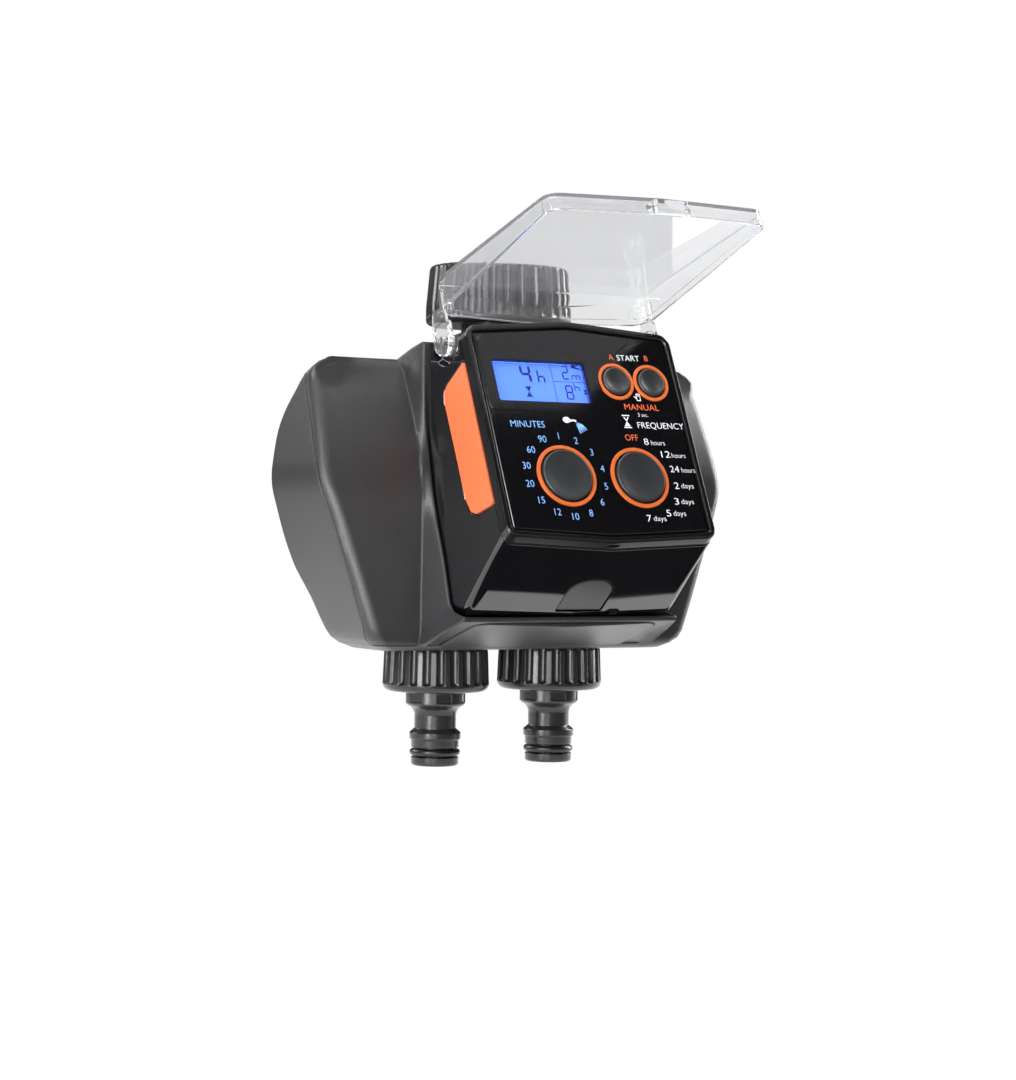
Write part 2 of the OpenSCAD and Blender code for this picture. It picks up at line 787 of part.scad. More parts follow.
module valve_contacts() {
    color(brass) for (x = contact_xs) translate([x, -18.3, 112]) rotate([90, 0, 0]) {
        cylinder(r = 1.5, h = 5.6);
        cylinder(r = 2.6, h = 1);
    }
}

module contact_pads() {
    color(brass) for (x = contact_xs) translate([x, console_back_y, 112]) rotate([90, 0, 0])
        cylinder(r = 2.4, h = 2.6);
}

// Leads from the contacts to the valve coils
module coil_leads() {
    color("firebrick") for (x = contact_xs) {
        side = sign(x);
        outer = abs(x) > 10;
        depth = outer ? -9.5 : -11.8;
        level = outer ? 116 : 121;
        wire([[x, -18.3, 112], [x, depth, 112], [side * 22, depth, level],
              [side * valve_x, depth, level], [side * valve_x, valve_y - 10.05, level]], 0.7);
    }
}

module battery() {
    color("slategray") {
        translate([-24.3, console_back_y - 18, 64.3]) cube([46.4, 17, 26.4]);
        for (z = [71.2, 83.8]) translate([22, console_back_y - 9.5, z]) rotate([0, 90, 0])
            cylinder(r = 2.8, h = 1.9);
    }
}

module battery_snap() {
    color(black) difference() {
        translate([22.4, console_back_y - 16.5, 65.5]) cube([4, 14, 24]);
        for (z = [71.2, 83.8]) translate([21, console_back_y - 9.5, z]) rotate([0, 90, 0])
            cylinder(r = 2.9, h = 3.2);
    }
}

module battery_leads() {
    color("firebrick") for (step = [0, 1]) {
        x = 23.5 + step * 1.8;
        wire([[x, -38.8, 89.5], [x, -38.8, 95.5], panel_point(x - 4, -6, -18), panel_point(x - 4, -6, -13.6)], 0.7);
    }
}

// ---------- lid ----------

lid_rim_z = -3.8;
lid_gap = 0.6;

// Outline of the lid in its closed place, seen from the side in the panel frame
lid_profile = [
    [-42.4, lid_rim_z], [40.6, lid_rim_z], [40.6, 1], [36.5, 6.5], [26, 6.5], [-38.9, 1.7], [-42.4, 0.6]
];
lid_hollow = [
    [-50, lid_rim_z - 1], [50, lid_rim_z - 1], [50, -0.4], [40.6, -0.4], [36, 5.2], [26.2, 5.2],
    [-38.9, 0.4], [-50, 0.4]
];
arm_profile = [
    [pivot_up - 5.2, pivot_in], [pivot_up + 5.2, pivot_in], [pivot_up + 4, -8],
    [pivot_up + 0.4, -2], [pivot_up - 5.2, -2]
];

arm_foot = [
    [pivot_up - 5.2, pivot_in], [pivot_up + 5.2, pivot_in], [pivot_up + 4, -8],
    [pivot_up + 3, -6.6], [pivot_up - 5.2, -6.6]
];

module lid_form(d, profile) {
    intersection() {
        translate([0, 0, -10]) linear_extrude(30) polygon(rounded(grow(panel_outline, d), 5));
        across(60, profile);
    }
}

module lid_closed() {
    difference() {
        union() {
            difference() {
                lid_form(lid_gap + lid_t, lid_profile);
                lid_form(lid_gap, lid_hollow);
            }
            // hinge arms
            for (side = [-1, 1]) {
                translate([side * 38.75, pivot_up, pivot_in]) rotate([0, 90, 0])
                    cylinder(r = 5.2, h = 2.4, center = true);
                translate([side * 39.43, 0, 0]) across(0.52, arm_profile);
                translate([side * 38.3, 0, 0]) across(0.75, arm_foot);
            }
            // catch at the free edge
            translate([-6.5, -46.6, -3.6]) cube([13, 5.7, 2.4]);
            translate([-6.5, -46.6, -6]) cube([13, 2.4, 2.5]);
        }
        translate([0, pivot_up, pivot_in]) rotate([0, 90, 0])
            cylinder(r = lid_pin_r + running_gap, h = 100, center = true);
    }
}

// The lid at rest stands open
module lid() {
    color([0.85, 0.9, 0.95, 0.4])
        translate([0, pivot_y, pivot_z]) rotate([90 - panel_lean - lid_swing, 0, 0])
            translate([0, -pivot_up, -pivot_in]) lid_closed();
}

hang() rear_shell();
hang() front_shell();
hang() shell_screws();
hang() manifold();
hang() manifold_screws();
hang() inlet_tailpiece();
hang() inlet_nut();
hang() inlet_washer();
hang() inlet_filter();
hang() at_valve(-1) valve_bonnet();  // valve_bonnet_a
hang() at_valve(1) valve_bonnet();  // valve_bonnet_b
hang() at_valve(-1) diaphragm();  // diaphragm_a
hang() at_valve(1) diaphragm();  // diaphragm_b
hang() bonnet_screws();
hang() at_valve(-1) coil();  // coil_a
hang() at_valve(1) coil();  // coil_b
hang() at_valve(-1) plunger();  // plunger_a
hang() at_valve(1) plunger();  // plunger_b
hang() at_valve(-1) plunger_spring();  // plunger_spring_a
hang() at_valve(1) plunger_spring();  // plunger_spring_b
hang() translate([-outlet_spacing / 2, 0, 0]) hose_adaptor();  // hose_adaptor_a
hang() translate([outlet_spacing / 2, 0, 0]) hose_adaptor();  // hose_adaptor_b
hang() adaptor_washers();
hang() nipple_orings();
hang() valve_contacts();
hang() coil_leads();
hang() console_shell();
hang() console_back();
hang() console_screws();
hang() console_seal();
hang() bezel();
hang() control_panel();
hang() lcd_window();
hang() lcd_glass();
hang() backlight();
hang() circuit_board();
hang() rotary_switches();
hang() tact_switches();
hang() dial_rings();
hang() button_rings();
hang() side_badges();
hang() lid_pins();
hang() contact_pads();
hang() battery();
hang() battery_snap();
hang() battery_leads();
hang() dial(minutes_at);  // dial_minutes
hang() dial_shaft(minutes_at);  // dial_minutes_shaft
hang() dial(frequency_at);  // dial_frequency
hang() dial_shaft(frequency_at);  // dial_frequency_shaft
hang() start_button(button_a_at);  // start_button_a
hang() start_button(button_b_at);  // start_button_b
hang() release_tab();
hang() lid();
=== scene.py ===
import bpy
import bmesh
import math
from mathutils import Matrix, Vector


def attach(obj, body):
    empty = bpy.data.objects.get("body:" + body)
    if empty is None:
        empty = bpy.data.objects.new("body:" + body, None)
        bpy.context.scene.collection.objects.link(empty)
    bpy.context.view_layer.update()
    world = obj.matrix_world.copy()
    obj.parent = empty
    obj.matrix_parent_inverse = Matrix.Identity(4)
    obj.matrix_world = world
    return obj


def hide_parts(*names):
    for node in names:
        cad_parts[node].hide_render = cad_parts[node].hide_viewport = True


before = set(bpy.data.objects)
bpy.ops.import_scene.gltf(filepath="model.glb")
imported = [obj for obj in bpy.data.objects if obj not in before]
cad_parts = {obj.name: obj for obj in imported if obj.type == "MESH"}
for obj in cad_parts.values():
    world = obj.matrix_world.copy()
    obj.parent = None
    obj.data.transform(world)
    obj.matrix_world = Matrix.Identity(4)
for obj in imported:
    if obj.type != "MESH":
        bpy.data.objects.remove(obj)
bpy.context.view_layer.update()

# Lengths below are in millimetres, with heights measured up from the tips of the hose nipples.
# ROW turns them into the row frame: metres, with the origin at the mouth of the inlet nut.
UNIT_H = 167.7
ROW = Matrix.Scale(0.001, 4) @ Matrix.Translation((0, 0, -UNIT_H))

# PANEL places a point given on the control panel (right, up, out), which leans back by LEAN.
# OPEN places the same point on the lid, swung open about its hinge pivot.
LEAN, SWING = math.radians(25.1), math.radians(-86)
PANEL = Matrix.Translation((0, -62, 112)) @ Matrix.Rotation(math.radians(90) - LEAN, 4, "X")
PIVOT_UP, PIVOT_IN = 36.4, -13.2
PIVOT = PANEL @ Vector((0, PIVOT_UP, PIVOT_IN))
OPEN = Matrix.Translation(PIVOT) @ Matrix.Rotation(SWING, 4, "X") @ Matrix.Translation(-PIVOT) @ PANEL


# ---------- outlines and curves ----------

def smooth(table, at):
    """Value of a smooth curve through (position, value) pairs, flat beyond its ends."""
    pts = sorted(table)
    if at <= pts[0][0]:
        return pts[0][1]
    if at >= pts[-1][0]:
        return pts[-1][1]
    for i in range(len(pts) - 1):
        (x0, y0), (x1, y1) = pts[i], pts[i + 1]
        if x0 <= at <= x1:
            slope = (y1 - y0) / (x1 - x0)
            before = (y0 - pts[i - 1][1]) / (x0 - pts[i - 1][0]) if i else slope
            after = (pts[i + 2][1] - y1) / (pts[i + 2][0] - x1) if i + 2 < len(pts) else slope
            m0 = 0 if before * slope <= 0 else 2 * before * slope / (before + slope)
            m1 = 0 if after * slope <= 0 else 2 * after * slope / (after + slope)
            t, h = (at - x0) / (x1 - x0), x1 - x0
            return ((2 * t**3 - 3 * t**2 + 1) * y0 + (t**3 - 2 * t**2 + t) * h * m0
                    + (3 * t**2 - 2 * t**3) * y1 + (t**3 - t**2) * h * m1)


def corner(a, b, c, r, steps):
    """Points of the arc that rounds corner b of the path a, b, c."""
    a, b, c = Vector(a), Vector(b), Vector(c)
    u, w = (a - b).normalized(), (c - b).normalized()
    half = math.acos(max(-1.0, min(1.0, u.dot(w)))) / 2
    if half > math.radians(89) or r <= 0 or math.isnan(half):
        return [b.copy() for _ in range(steps + 1)]
    r = min(r, 0.48 * min((a - b).length, (c - b).length) * math.tan(half))
    mid = b + (u + w).normalized() * (r / math.sin(half))
    start, end = b + u * (r / math.tan(half)) - mid, b + w * (r / math.tan(half)) - mid
    a0, a1 = math.atan2(start.y, start.x), math.atan2(end.y, end.x)
    sweep = (a1 - a0 + 3 * math.pi) % (2 * math.pi) - math.pi
    return [mid + Vector((math.cos(a0 + sweep * i / steps), math.sin(a0 + sweep * i / steps))) * r
            for i in range(steps + 1)]


def rounded(points, radii, steps=6):
    """A closed outline with its corners rounded, each with its own radius if a list is given."""
    n = len(points)
    radii = radii if isinstance(radii, (list, tuple)) else [radii] * n
    out = []
    for i in range(n):
        out += corner(points[i - 1], points[i], points[(i + 1) % n], radii[i], steps)
    return out


def grow(points, d):
    """An outline, given anticlockwise, moved outwards by d."""
    pts = [Vector((p[0], p[1])) for p in points]
    n, out = len(pts), []
    for i, p in enumerate(pts):
        before = next((p - pts[i - k] for k in range(1, n) if (p - pts[i - k]).length > 1e-5), Vector((1, 0)))
        after = next((pts[(i + k) % n] - p for k in range(1, n) if (pts[(i + k) % n] - p).length > 1e-5),
                     Vector((1, 0)))
        a, b = Vector((before.y, -before.x)).normalized(), Vector((after.y, -after.x)).normalized()
        mean = a + b if (a + b).length > 1e-3 else a
        mean.normalize()
        out.append(p + mean * (d / max(0.35, mean.dot(a))))
    return out


def arc(x, y, r, degrees, *mark):
    """Points on a circle about (x, y), each followed by mark if there is one."""
    return [(x + r * math.cos(math.radians(a)), y + r * math.sin(math.radians(a)), *mark) for a in degrees]


# ---------- meshes ----------

def loft(rings, cap_start=True, cap_end=True):
    """Vertices and faces of a skin over closed rings that all have the same number of points."""
    n = len(rings[0])
    verts = [Vector(p) for ring in rings for p in ring]
    faces = []
    for k in range(len(rings) - 1):
        for i in range(n):
            j = (i + 1) % n
            faces.append((k * n + i, k * n + j, (k + 1) * n + j, (k + 1) * n + i))
    if cap_start:
        faces.append(tuple(reversed(range(n))))
    if cap_end:
        faces.append(tuple(range((len(rings) - 1) * n, len(rings) * n)))
    return verts, faces


def flat(points, z):
    return [Vector((p[0], p[1], z)) for p in points]


def side(x, outline):
    """Points of a side-view outline (y, z) at x."""
    return [Vector((x, p[0], p[1])) for p in outline]


def prism(outline, z0, z1, edge=0.0, steps=3, both=False):
    """A prism of a convex outline, its upper rim rounded by edge, and its lower one too if both."""
    rings = []
    if both and edge:
        for i in range(steps):
            a = math.pi / 2 * i / steps
            rings.append(flat(grow(outline, -edge * (1 - math.sin(a))), z0 + edge * (1 - math.cos(a))))
    rings.append(flat(outline, z0 + (edge if both else 0)))
    if edge:
        for i in range(steps + 1):
            a = math.pi / 2 * i / steps
            rings.append(flat(grow(outline, -edge * (1 - math.cos(a))), z1 - edge + edge * math.sin(a)))
    else:
        rings.append(flat(outline, z1))
    return loft(rings)


def lathe(profile, steps=96, closed=False, flutes=None):
    """Skin of a profile (r, z) turned about Z. A closed profile is a loop, such as a ring's section.
    flutes (count, depth, half width, low, high, fade) carves grooves into points marked by a third value."""
    rings = []
    for point in list(profile) + (list(profile[:1]) if closed else []):
        r, z = point[0], point[1]
        ring = []
        for i in range(steps):
            a = 2 * math.pi * i / steps
            rr = r
            if flutes and len(point) > 2:
                count, depth, half, low, high, fade = flutes
                off = (a * count / (2 * math.pi) + 0.5) % 1 - 0.5
                across = off * 2 * math.pi * r / count / half
                end = min(1.0, max(0.0, (z - low) / fade), max(0.0, (high - z) / fade))
                end = math.sqrt(max(0.0, 1 - (1 - end) ** 2))
                if abs(across) < 1:
                    rr = r - depth * end * point[2] * math.sqrt(1 - across * across)
            ring.append(Vector((rr * math.cos(a), rr * math.sin(a), z)))
        rings.append(ring)
    return loft(rings, not closed, not closed)


def block(x0, x1, y0, y1, z0, z1):
    return loft([[Vector((x, y, z)) for x, y in ((x0, y0), (x1, y0), (x1, y1), (x0, y1))] for z in (z0, z1)])


def rod(a, b, r, steps=24):
    a, b = Vector(a), Vector(b)
    turn = (b - a).to_track_quat("Z", "Y").to_matrix()
    ring = [turn @ Vector((r * math.cos(2 * math.pi * i / steps), r * math.sin(2 * math.pi * i / steps), 0))
            for i in range(steps)]
    return loft([[a + p for p in ring], [b + p for p in ring]])


def moved(mesh, matrix):
    return [matrix @ Vector(v) for v in mesh[0]], mesh[1]


def joined(*meshes):
    verts, faces = [], []
    for v, f in meshes:
        faces += [tuple(i + len(verts) for i in face) for face in f]
        verts += list(v)
    return verts, faces


def to_object(name, mesh, fix=True):
    data = bpy.data.meshes.new(name)
    bm = bmesh.new()
    vs = [bm.verts.new(v) for v in mesh[0]]
    for face in mesh[1]:
        try:
            bm.faces.new([vs[i] for i in face])
        except ValueError:
            pass
    bmesh.ops.remove_doubles(bm, verts=bm.verts, dist=1e-4)
    bmesh.ops.dissolve_degenerate(bm, edges=bm.edges, dist=1e-4)
    if fix:
        bmesh.ops.recalc_face_normals(bm, faces=bm.faces)
        if bm.calc_volume(signed=True) < 0:
            bmesh.ops.reverse_faces(bm, faces=bm.faces)
    bm.to_mesh(data)
    bm.free()
    obj = bpy.data.objects.new(name, data)
    bpy.context.scene.collection.objects.link(obj)
    return obj


def apply_modifiers(obj):
    graph = bpy.context.evaluated_depsgraph_get()
    data = bpy.data.meshes.new_from_object(obj.evaluated_get(graph))
    obj.modifiers.clear()
    old = obj.data
    obj.data = data
    bpy.data.meshes.remove(old)


def boolean(obj, mesh, kind="DIFFERENCE"):
    """Cuts a closed mesh from obj, adds it, or keeps only what lies in it."""
    other = to_object("tool", mesh)
    m = obj.modifiers.new("b", "BOOLEAN")
    m.operation = kind
    m.object = other
    m.solver = "EXACT"
    apply_modifiers(obj)
    data = other.data
    bpy.data.objects.remove(other)
    bpy.data.meshes.remove(data)


def take_mesh(obj):
    """The vertices and faces of an object, which is then deleted."""
    mesh = [v.co.copy() for v in obj.data.vertices], [tuple(p.vertices) for p in obj.data.polygons]
    bpy.data.objects.remove(obj)
    return mesh


def tidy_mesh(obj, angle):
    """Merges points that coincide and faces that lie within angle degrees of each other."""
    bm = bmesh.new()
    bm.from_mesh(obj.data)
    bmesh.ops.remove_doubles(bm, verts=bm.verts, dist=1e-3)
    bmesh.ops.dissolve_limit(bm, angle_limit=math.radians(angle), verts=bm.verts, edges=bm.edges)
    bm.to_mesh(obj.data)
    bm.free()


def bevel(obj, width, segments, angle):
    """Rounds the edges that are sharper than angle."""
    m = obj.modifiers.new("bevel", "BEVEL")
    m.width = width
    m.segments = segments
    m.limit_method = "ANGLE"
    m.angle_limit = math.radians(angle)
    m.use_clamp_overlap = True
    apply_modifiers(obj)


def shade(obj, angle=32, weight=60):
    """Smooth shading, except over edges sharper than angle. A high weight favours the large faces."""
    for p in obj.data.polygons:
        p.use_smooth = True
    bm = bmesh.new()
    bm.from_mesh(obj.data)
    for e in bm.edges:
        e.smooth = len(e.link_faces) != 2 or e.calc_face_angle(0) < math.radians(angle)
    bm.to_mesh(obj.data)
    bm.free()
    m = obj.modifiers.new("normals", "WEIGHTED_NORMAL")
    m.keep_sharp, m.weight, m.thresh = True, weight, 0.005
    apply_modifiers(obj)


def finish_piece(obj, material, body, nodes=(), angle=32, weight=60):
    """Shades a piece, moves it into the row frame and ties it to its CAD body."""
    shade(obj, angle, weight)
    obj.data.transform(ROW)
    obj.data.materials.clear()
    obj.data.materials.append(material)
    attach(obj, body)
    if nodes:
        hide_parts(*nodes)


# ---------- materials ----------

GLOSS_WANDER, GRAIN_DEPTH = 0.12, 0.0002


def material(name, colour, rough=0.5, metal=0.0, grain=0.0, grain_scale=900.0, spread=0.0, coat=0.0,
             transmission=0.0, ior=1.48, glow=0.0, edge=0.0):
    """A procedural finish: fine grain, a slow wander in tone and gloss, edges softened by edge metres."""
    m = bpy.data.materials.new(name)
    m.use_nodes = True
    nodes, links = m.node_tree.nodes, m.node_tree.links
    p = nodes["Principled BSDF"]
    where = nodes.new("ShaderNodeTexCoord")

    def noise(scale, detail):
        node = nodes.new("ShaderNodeTexNoise")
        node.inputs["Scale"].default_value = scale
        node.inputs["Detail"].default_value = detail
        links.new(where.outputs["Object"], node.inputs["Vector"])
        return node.outputs["Fac"]

    slow = noise(60.0, 3.0)
    tone = nodes.new("ShaderNodeMixRGB")
    tone.inputs[1].default_value = (*[c * (1 - spread) for c in colour], 1)
    tone.inputs[2].default_value = (*[min(1, c * (1 + spread)) for c in colour], 1)
    links.new(slow, tone.inputs[0])
    links.new(tone.outputs[0], p.inputs["Base Color"])
    gloss = nodes.new("ShaderNodeMapRange")
    gloss.inputs["To Min"].default_value = max(0.0, rough - GLOSS_WANDER * rough)
    gloss.inputs["To Max"].default_value = min(1.0, rough + GLOSS_WANDER * rough)
    links.new(slow, gloss.inputs["Value"])
    links.new(gloss.outputs[0], p.inputs["Roughness"])
    if edge:
        soft = nodes.new("ShaderNodeBevel")
        soft.samples = 6
        soft.inputs["Radius"].default_value = edge
        links.new(soft.outputs[0], p.inputs["Normal"])
    if grain:
        bump = nodes.new("ShaderNodeBump")
        bump.inputs["Strength"].default_value = grain
        bump.inputs["Distance"].default_value = GRAIN_DEPTH
        links.new(noise(grain_scale, 4.0), bump.inputs["Height"])
        if edge:
            links.new(soft.outputs[0], bump.inputs["Normal"])
        links.new(bump.outputs[0], p.inputs["Normal"])
    for key, value in (("Metallic", metal), ("Coat Weight", coat), ("Coat Roughness", 0.04),
                       ("Transmission Weight", transmission), ("IOR", ior)):
        p.inputs[key].default_value = value
    if glow:
        p.inputs["Emission Color"].default_value = (*colour, 1)
        p.inputs["Emission Strength"].default_value = glow
    return m


def add_haze(clear, share):
    """Scatters a share of the light that meets a clear plastic."""
    nodes, links = clear.node_tree.nodes, clear.node_tree.links
    haze, mixed = nodes.new("ShaderNodeBsdfTranslucent"), nodes.new("ShaderNodeMixShader")
    haze.inputs["Color"].default_value = (0.95, 0.96, 1.0, 1)
    mixed.inputs[0].default_value = share
    links.new(nodes["Principled BSDF"].outputs[0], mixed.inputs[1])
    links.new(haze.outputs[0], mixed.inputs[2])
    links.new(mixed.outputs[0], nodes["Material Output"].inputs[0])


GREY = material("matte_grey", (0.023, 0.023, 0.0245), 0.37, grain=0.5, grain_scale=2600, spread=0.06,
                edge=0.0012)
BLACK = material("gloss_black", (0.003, 0.003, 0.004), 0.035, coat=0.5, spread=0.1, edge=0.0003)
BEZEL_BLACK = material("bezel_black", (0.006, 0.006, 0.0065), 0.18, spread=0.1, edge=0.0003)
PANEL_BLACK = material("panel_black", (0.0035, 0.0035, 0.0045), 0.14, spread=0.1)
SATIN = material("satin_grey", (0.015, 0.015, 0.0165), 0.24, grain=0.2, grain_scale=1800, spread=0.06,
                 edge=0.0003)
DIAL = material("dial_grey", (0.022, 0.023, 0.025), 0.4, grain=0.25, grain_scale=2200, spread=0.06)
ORANGE = material("ring_orange", (0.62, 0.13, 0.028), 0.36, spread=0.04)
BADGE = material("badge_orange", (0.72, 0.14, 0.05), 0.3, spread=0.03)
RUBBER = material("rubber_black", (0.006, 0.006, 0.0065), 0.35, grain=0.2, spread=0.1)
CLEAR = material("clear_lid", (0.97, 0.975, 0.98), 0.03, transmission=1.0, ior=1.46, spread=0.01)
add_haze(CLEAR, 0.04)
# The printing glows faintly. This is painted light that brightens the ink beyond what the lamps give.
PRINT_WHITE = material("print_white", (0.75, 0.77, 0.8), 0.5, spread=0.03, glow=0.25)
PRINT_BLUE = material("print_blue", (0.2, 0.42, 0.85), 0.5, spread=0.03, glow=0.25)
PRINT_ORANGE = material("print_orange", (0.8, 0.14, 0.04), 0.5, spread=0.03, glow=0.2)
LCD = material("lcd_blue", (0.1, 0.22, 0.98), 0.3, spread=0.03, glow=0.75)
LCD_INK = material("lcd_ink", (0.01, 0.02, 0.2), 0.5, spread=0.1)
GLASS = material("window_glass", (0.85, 0.9, 1.0), 0.03, transmission=1.0, ior=1.1, spread=0.01)
NATURAL = material("natural_plastic", (0.55, 0.55, 0.52), 0.42, grain=0.15, spread=0.05)
STEEL = material("steel", (0.6, 0.6, 0.62), 0.28, metal=1.0, grain=0.05, spread=0.05)
BRASS = material("brass", (0.75, 0.5, 0.2), 0.25, metal=1.0, spread=0.06)
WINDING = material("winding", (0.45, 0.16, 0.05), 0.5, grain=0.3, spread=0.1)
BOARD = material("board_green", (0.02, 0.14, 0.06), 0.35, spread=0.15)
LEAD = material("lead_red", (0.4, 0.02, 0.015), 0.45, spread=0.08)
CELL = material("battery_grey", (0.12, 0.16, 0.22), 0.3, metal=0.3, spread=0.06)


# ---------- body shells ----------

BOTTOM, TOP, WALL = 39.5, 134.5, 2.4
FRONT_OUTLINE = rounded([(-58, BOTTOM), (58, BOTTOM), (76.75, 94), (73.6, TOP), (-73.6, TOP), (-76.75, 94)],
                        [9, 9, 25, 8, 8, 25], 10)
# side-view curves of the body, as pairs of height and depth
LOBE_FRONT = [(39.5, -24.5), (45, -27.2), (52, -27.2), (70, -26.4), (80, -26), (88, -25.2), (94, -24.2),
              (101, -22), (108, -19), (115, -15.6), (121.5, -12.2), (127.5, -9.2), (134.5, -8.9)]
LOBE_REAR = [(39.5, 3), (48, 7.4), (56, 10.6), (61, 13.9), (67, 17.3), (76, 18.6), (88, 17.5), (100, 16),
             (109, 14.2), (114, 11.5), (119, 7), (124, 1.2), (127, -2), (129, -4.3), (131.7, -8.2),
             (134.5, -8.4)]
RIDGE = [(39.5, -26), (48, -28.3), (86, -28.3), (99, -26.4), (122.5, -17.3), (134.5, -10)]
BACK_LINE = [(39.5, 20), (45, 25.5), (52, 29.4), (60, 30), (108, 30), (118, 29.4), (128, 25), (134.5, 20)]
SEAM = [(20, -21), (40, -21.4), (48, -23.7), (70, -23.8), (80, -23.4), (93, -21.6), (107.7, -15.5),
        (127.5, -5.5), (134.5, -3), (160, -3)]


def width_at(z):
    """Half the body's width at height z."""
    best = 10.0
    for i in range(len(FRONT_OUTLINE)):
        a, b = FRONT_OUTLINE[i - 1], FRONT_OUTLINE[i]
        if (a.y - z) * (b.y - z) <= 0 and abs(a.y - b.y) > 1e-6:
            best = max(best, a.x + (b.x - a.x) * (z - a.y) / (b.y - a.y))
    return best


def body_ring(z, inset):
    """Cross-section of the body at height z: thick middle, thinner lobes with curved fronts."""
    w = width_at(min(TOP - 0.8, max(BOTTOM + 0.8, z))) - inset
    front, ridge, back = smooth(LOBE_FRONT, z) + inset, smooth(RIDGE, z) + inset, smooth(BACK_LINE, z) - inset
    rear = smooth(LOBE_REAR, z) - 1.15 * inset
    if rear < front + 0.6:
        front, rear = (front + rear) / 2 - 0.3, (front + rear) / 2 + 0.3
    lobe = []
    for i in range(7):
        t = i / 6 * max(0.4, 1 - 9 / (w - 42))
        lobe.append((42 + (w - 42) * t, ridge + (front - ridge) * (0.35 * t + 0.65 * t * t)))
    edge, heel = (w, front), (w, rear)
    half = [(0, ridge), (20, ridge)] + lobe
    half += [tuple(p) for p in corner(lobe[-1], edge, heel, 5.2, 7)]
    half += [tuple(p) for p in corner(edge, heel, (46 - 0.4 * inset, back), 4.5, 5)]
    half += [tuple(p) for p in corner(heel, (46 - 0.4 * inset, back), (0, back), 12, 6)]
    half += [(24, back), (0, back)]
    ring = half + [(-x, y) for x, y in reversed(half[1:-1])]
    return [Vector(p) for p in ring]


def body_solid(inset):
    """The body's closed form, its top and bottom edges rounded."""
    r = 3.6
    low, high = BOTTOM + inset, TOP - inset
    levels = [low, low + 0.25, low + 0.8, low + 1.7, low + r]
    z = low + r + 2.4
    while z < high - r - 1.5:
        levels.append(z)
        z += 2.6
    levels += [high - r, high - 1.7, high - 0.8, high - 0.25, high]
    rings = []
    for z in levels:
        depth = min(z - low, high - z)
        edge = r - math.sqrt(max(0.0, r * r - (r - min(r, depth)) ** 2))
        rings.append([Vector((p[0], p[1], z)) for p in body_ring(z, inset + edge * 0.9)])
    return loft(rings)


def across(half, outline, x=0.0):
    """A side-view outline (y, z) stretched over the width."""
    return loft([side(x - half, outline), side(x + half, outline)])


def seam_zone(shift):
    """Everything in front of the seam and above the line where it runs forward under the front."""
    line = [(smooth(SEAM, z) + shift, z) for z in [41.4 + shift + 2.2 * k for k in range(48)]]
    return across(120, line + [(-130, 160), (-130, 41.4 + shift)])


# side views of the collar round the console, along its crest and at its foot, as pairs of depth and height
COLLAR_HIGH = [(-24, 41), (-50.6, 49.5), (-51.9, 50), (-52.3, 50.9), (-51.6, 51.6), (-45.1, 52.9),
               (-42.2, 55.2), (-37.3, 70), (-32.7, 80.5), (-28.9, 91), (-26.3, 101), (-23.5, 112),
               (-22.6, 126), (-22.4, 139.5), (-21.2, 139.7), (-8, 134.8), (-8, 132), (-20.1, 136),
               (-20.1, 60), (-21.7, 42)]
COLLAR_LOW = [(-24, 41), (-31.4, 41.3), (-32.4, 41.7), (-32.8, 42.6), (-32, 44.2), (-29.6, 46.6),
              (-28.8, 48.5), (-28.6, 66), (-28.7, 78), (-28.6, 87), (-26.8, 99.3), (-23.3, 109),
              (-17.8, 122.3), (-9.6, 134.4), (-9.2, 134.7), (-8, 134.3), (-8, 132), (-14, 126),
              (-20.1, 60), (-21.7, 42)]


def collar():
    stations = [(-42.3, COLLAR_LOW), (-41.2, None), (-39.7, COLLAR_HIGH), (39.7, COLLAR_HIGH), (41.2, None),
                (42.3, COLLAR_LOW)]
    mid = [tuple(h[i] * 0.62 + l[i] * 0.38 for i in (0, 1)) for h, l in zip(COLLAR_HIGH, COLLAR_LOW)]
    return loft([side(x, outline or mid) for x, outline in stations])


CHIN_HALF = 33.8


def chin(extra=0.0):
    """The tongue of the rear shell that closes the collar's underside, a little lower in the middle."""
    rings = []
    for x, back in ((-CHIN_HALF, 4.0), (-33.5, 2.4), (-32.4, 1), (-30.2, 0.1), (-29, 0), (0, 0), (29, 0),
                    (30.2, 0.1), (32.4, 1), (33.5, 2.4), (CHIN_HALF, 4.0)):
        front = -50.3 + back - extra
        z = 40.2 + (-24 - front) * 0.343 - 1.1 * (1 - abs(x) / CHIN_HALF)
        outline = [(-18, 39.4 - extra), (-24, 40.2 - extra), (front + 1.2, z - 0.5 - extra), (front, z),
                   (front + 0.2, z + 1.2), (-24, 43 + extra * 20), (-18, 42.3 + extra * 20)]
        rings.append(side(x + math.copysign(extra, x) * (abs(x) > 33), outline))
    return loft(rings)


OUTLETS = (-21.85, 21.85)
INLET_HOLE = rod((0, 0, 120), (0, 0, 150), 13.4, 64)
CONSOLE_OPENING = [(-22.5, 51.4), (-22.5, 170), (-95, 170), (-95, 51.4)]
SEAM_GAP = 0.22  # on either side of the seam between the shells
# x, z and the depth at which the screw's seat lies
POSTS = [(66.5, 118, 13), (-66.5, 118, 13), (54, 51, 9), (-54, 51, 9)]

front_shell = to_object("front_shell_moulding", body_solid(0))
boolean(front_shell, body_solid(WALL))
boolean(front_shell, seam_zone(-SEAM_GAP), "INTERSECT")
boolean(front_shell, collar(), "UNION")
boolean(front_shell, across(38.9, CONSOLE_OPENING))
boolean(front_shell, chin(0.45))
boolean(front_shell, INLET_HOLE)
for x in (-15, -5, 5, 15):
    boolean(front_shell, rod((x, -26, 112), (x, -15, 112), 2.65, 24))
finish_piece(front_shell, GREY, "body", ["front_shell"])

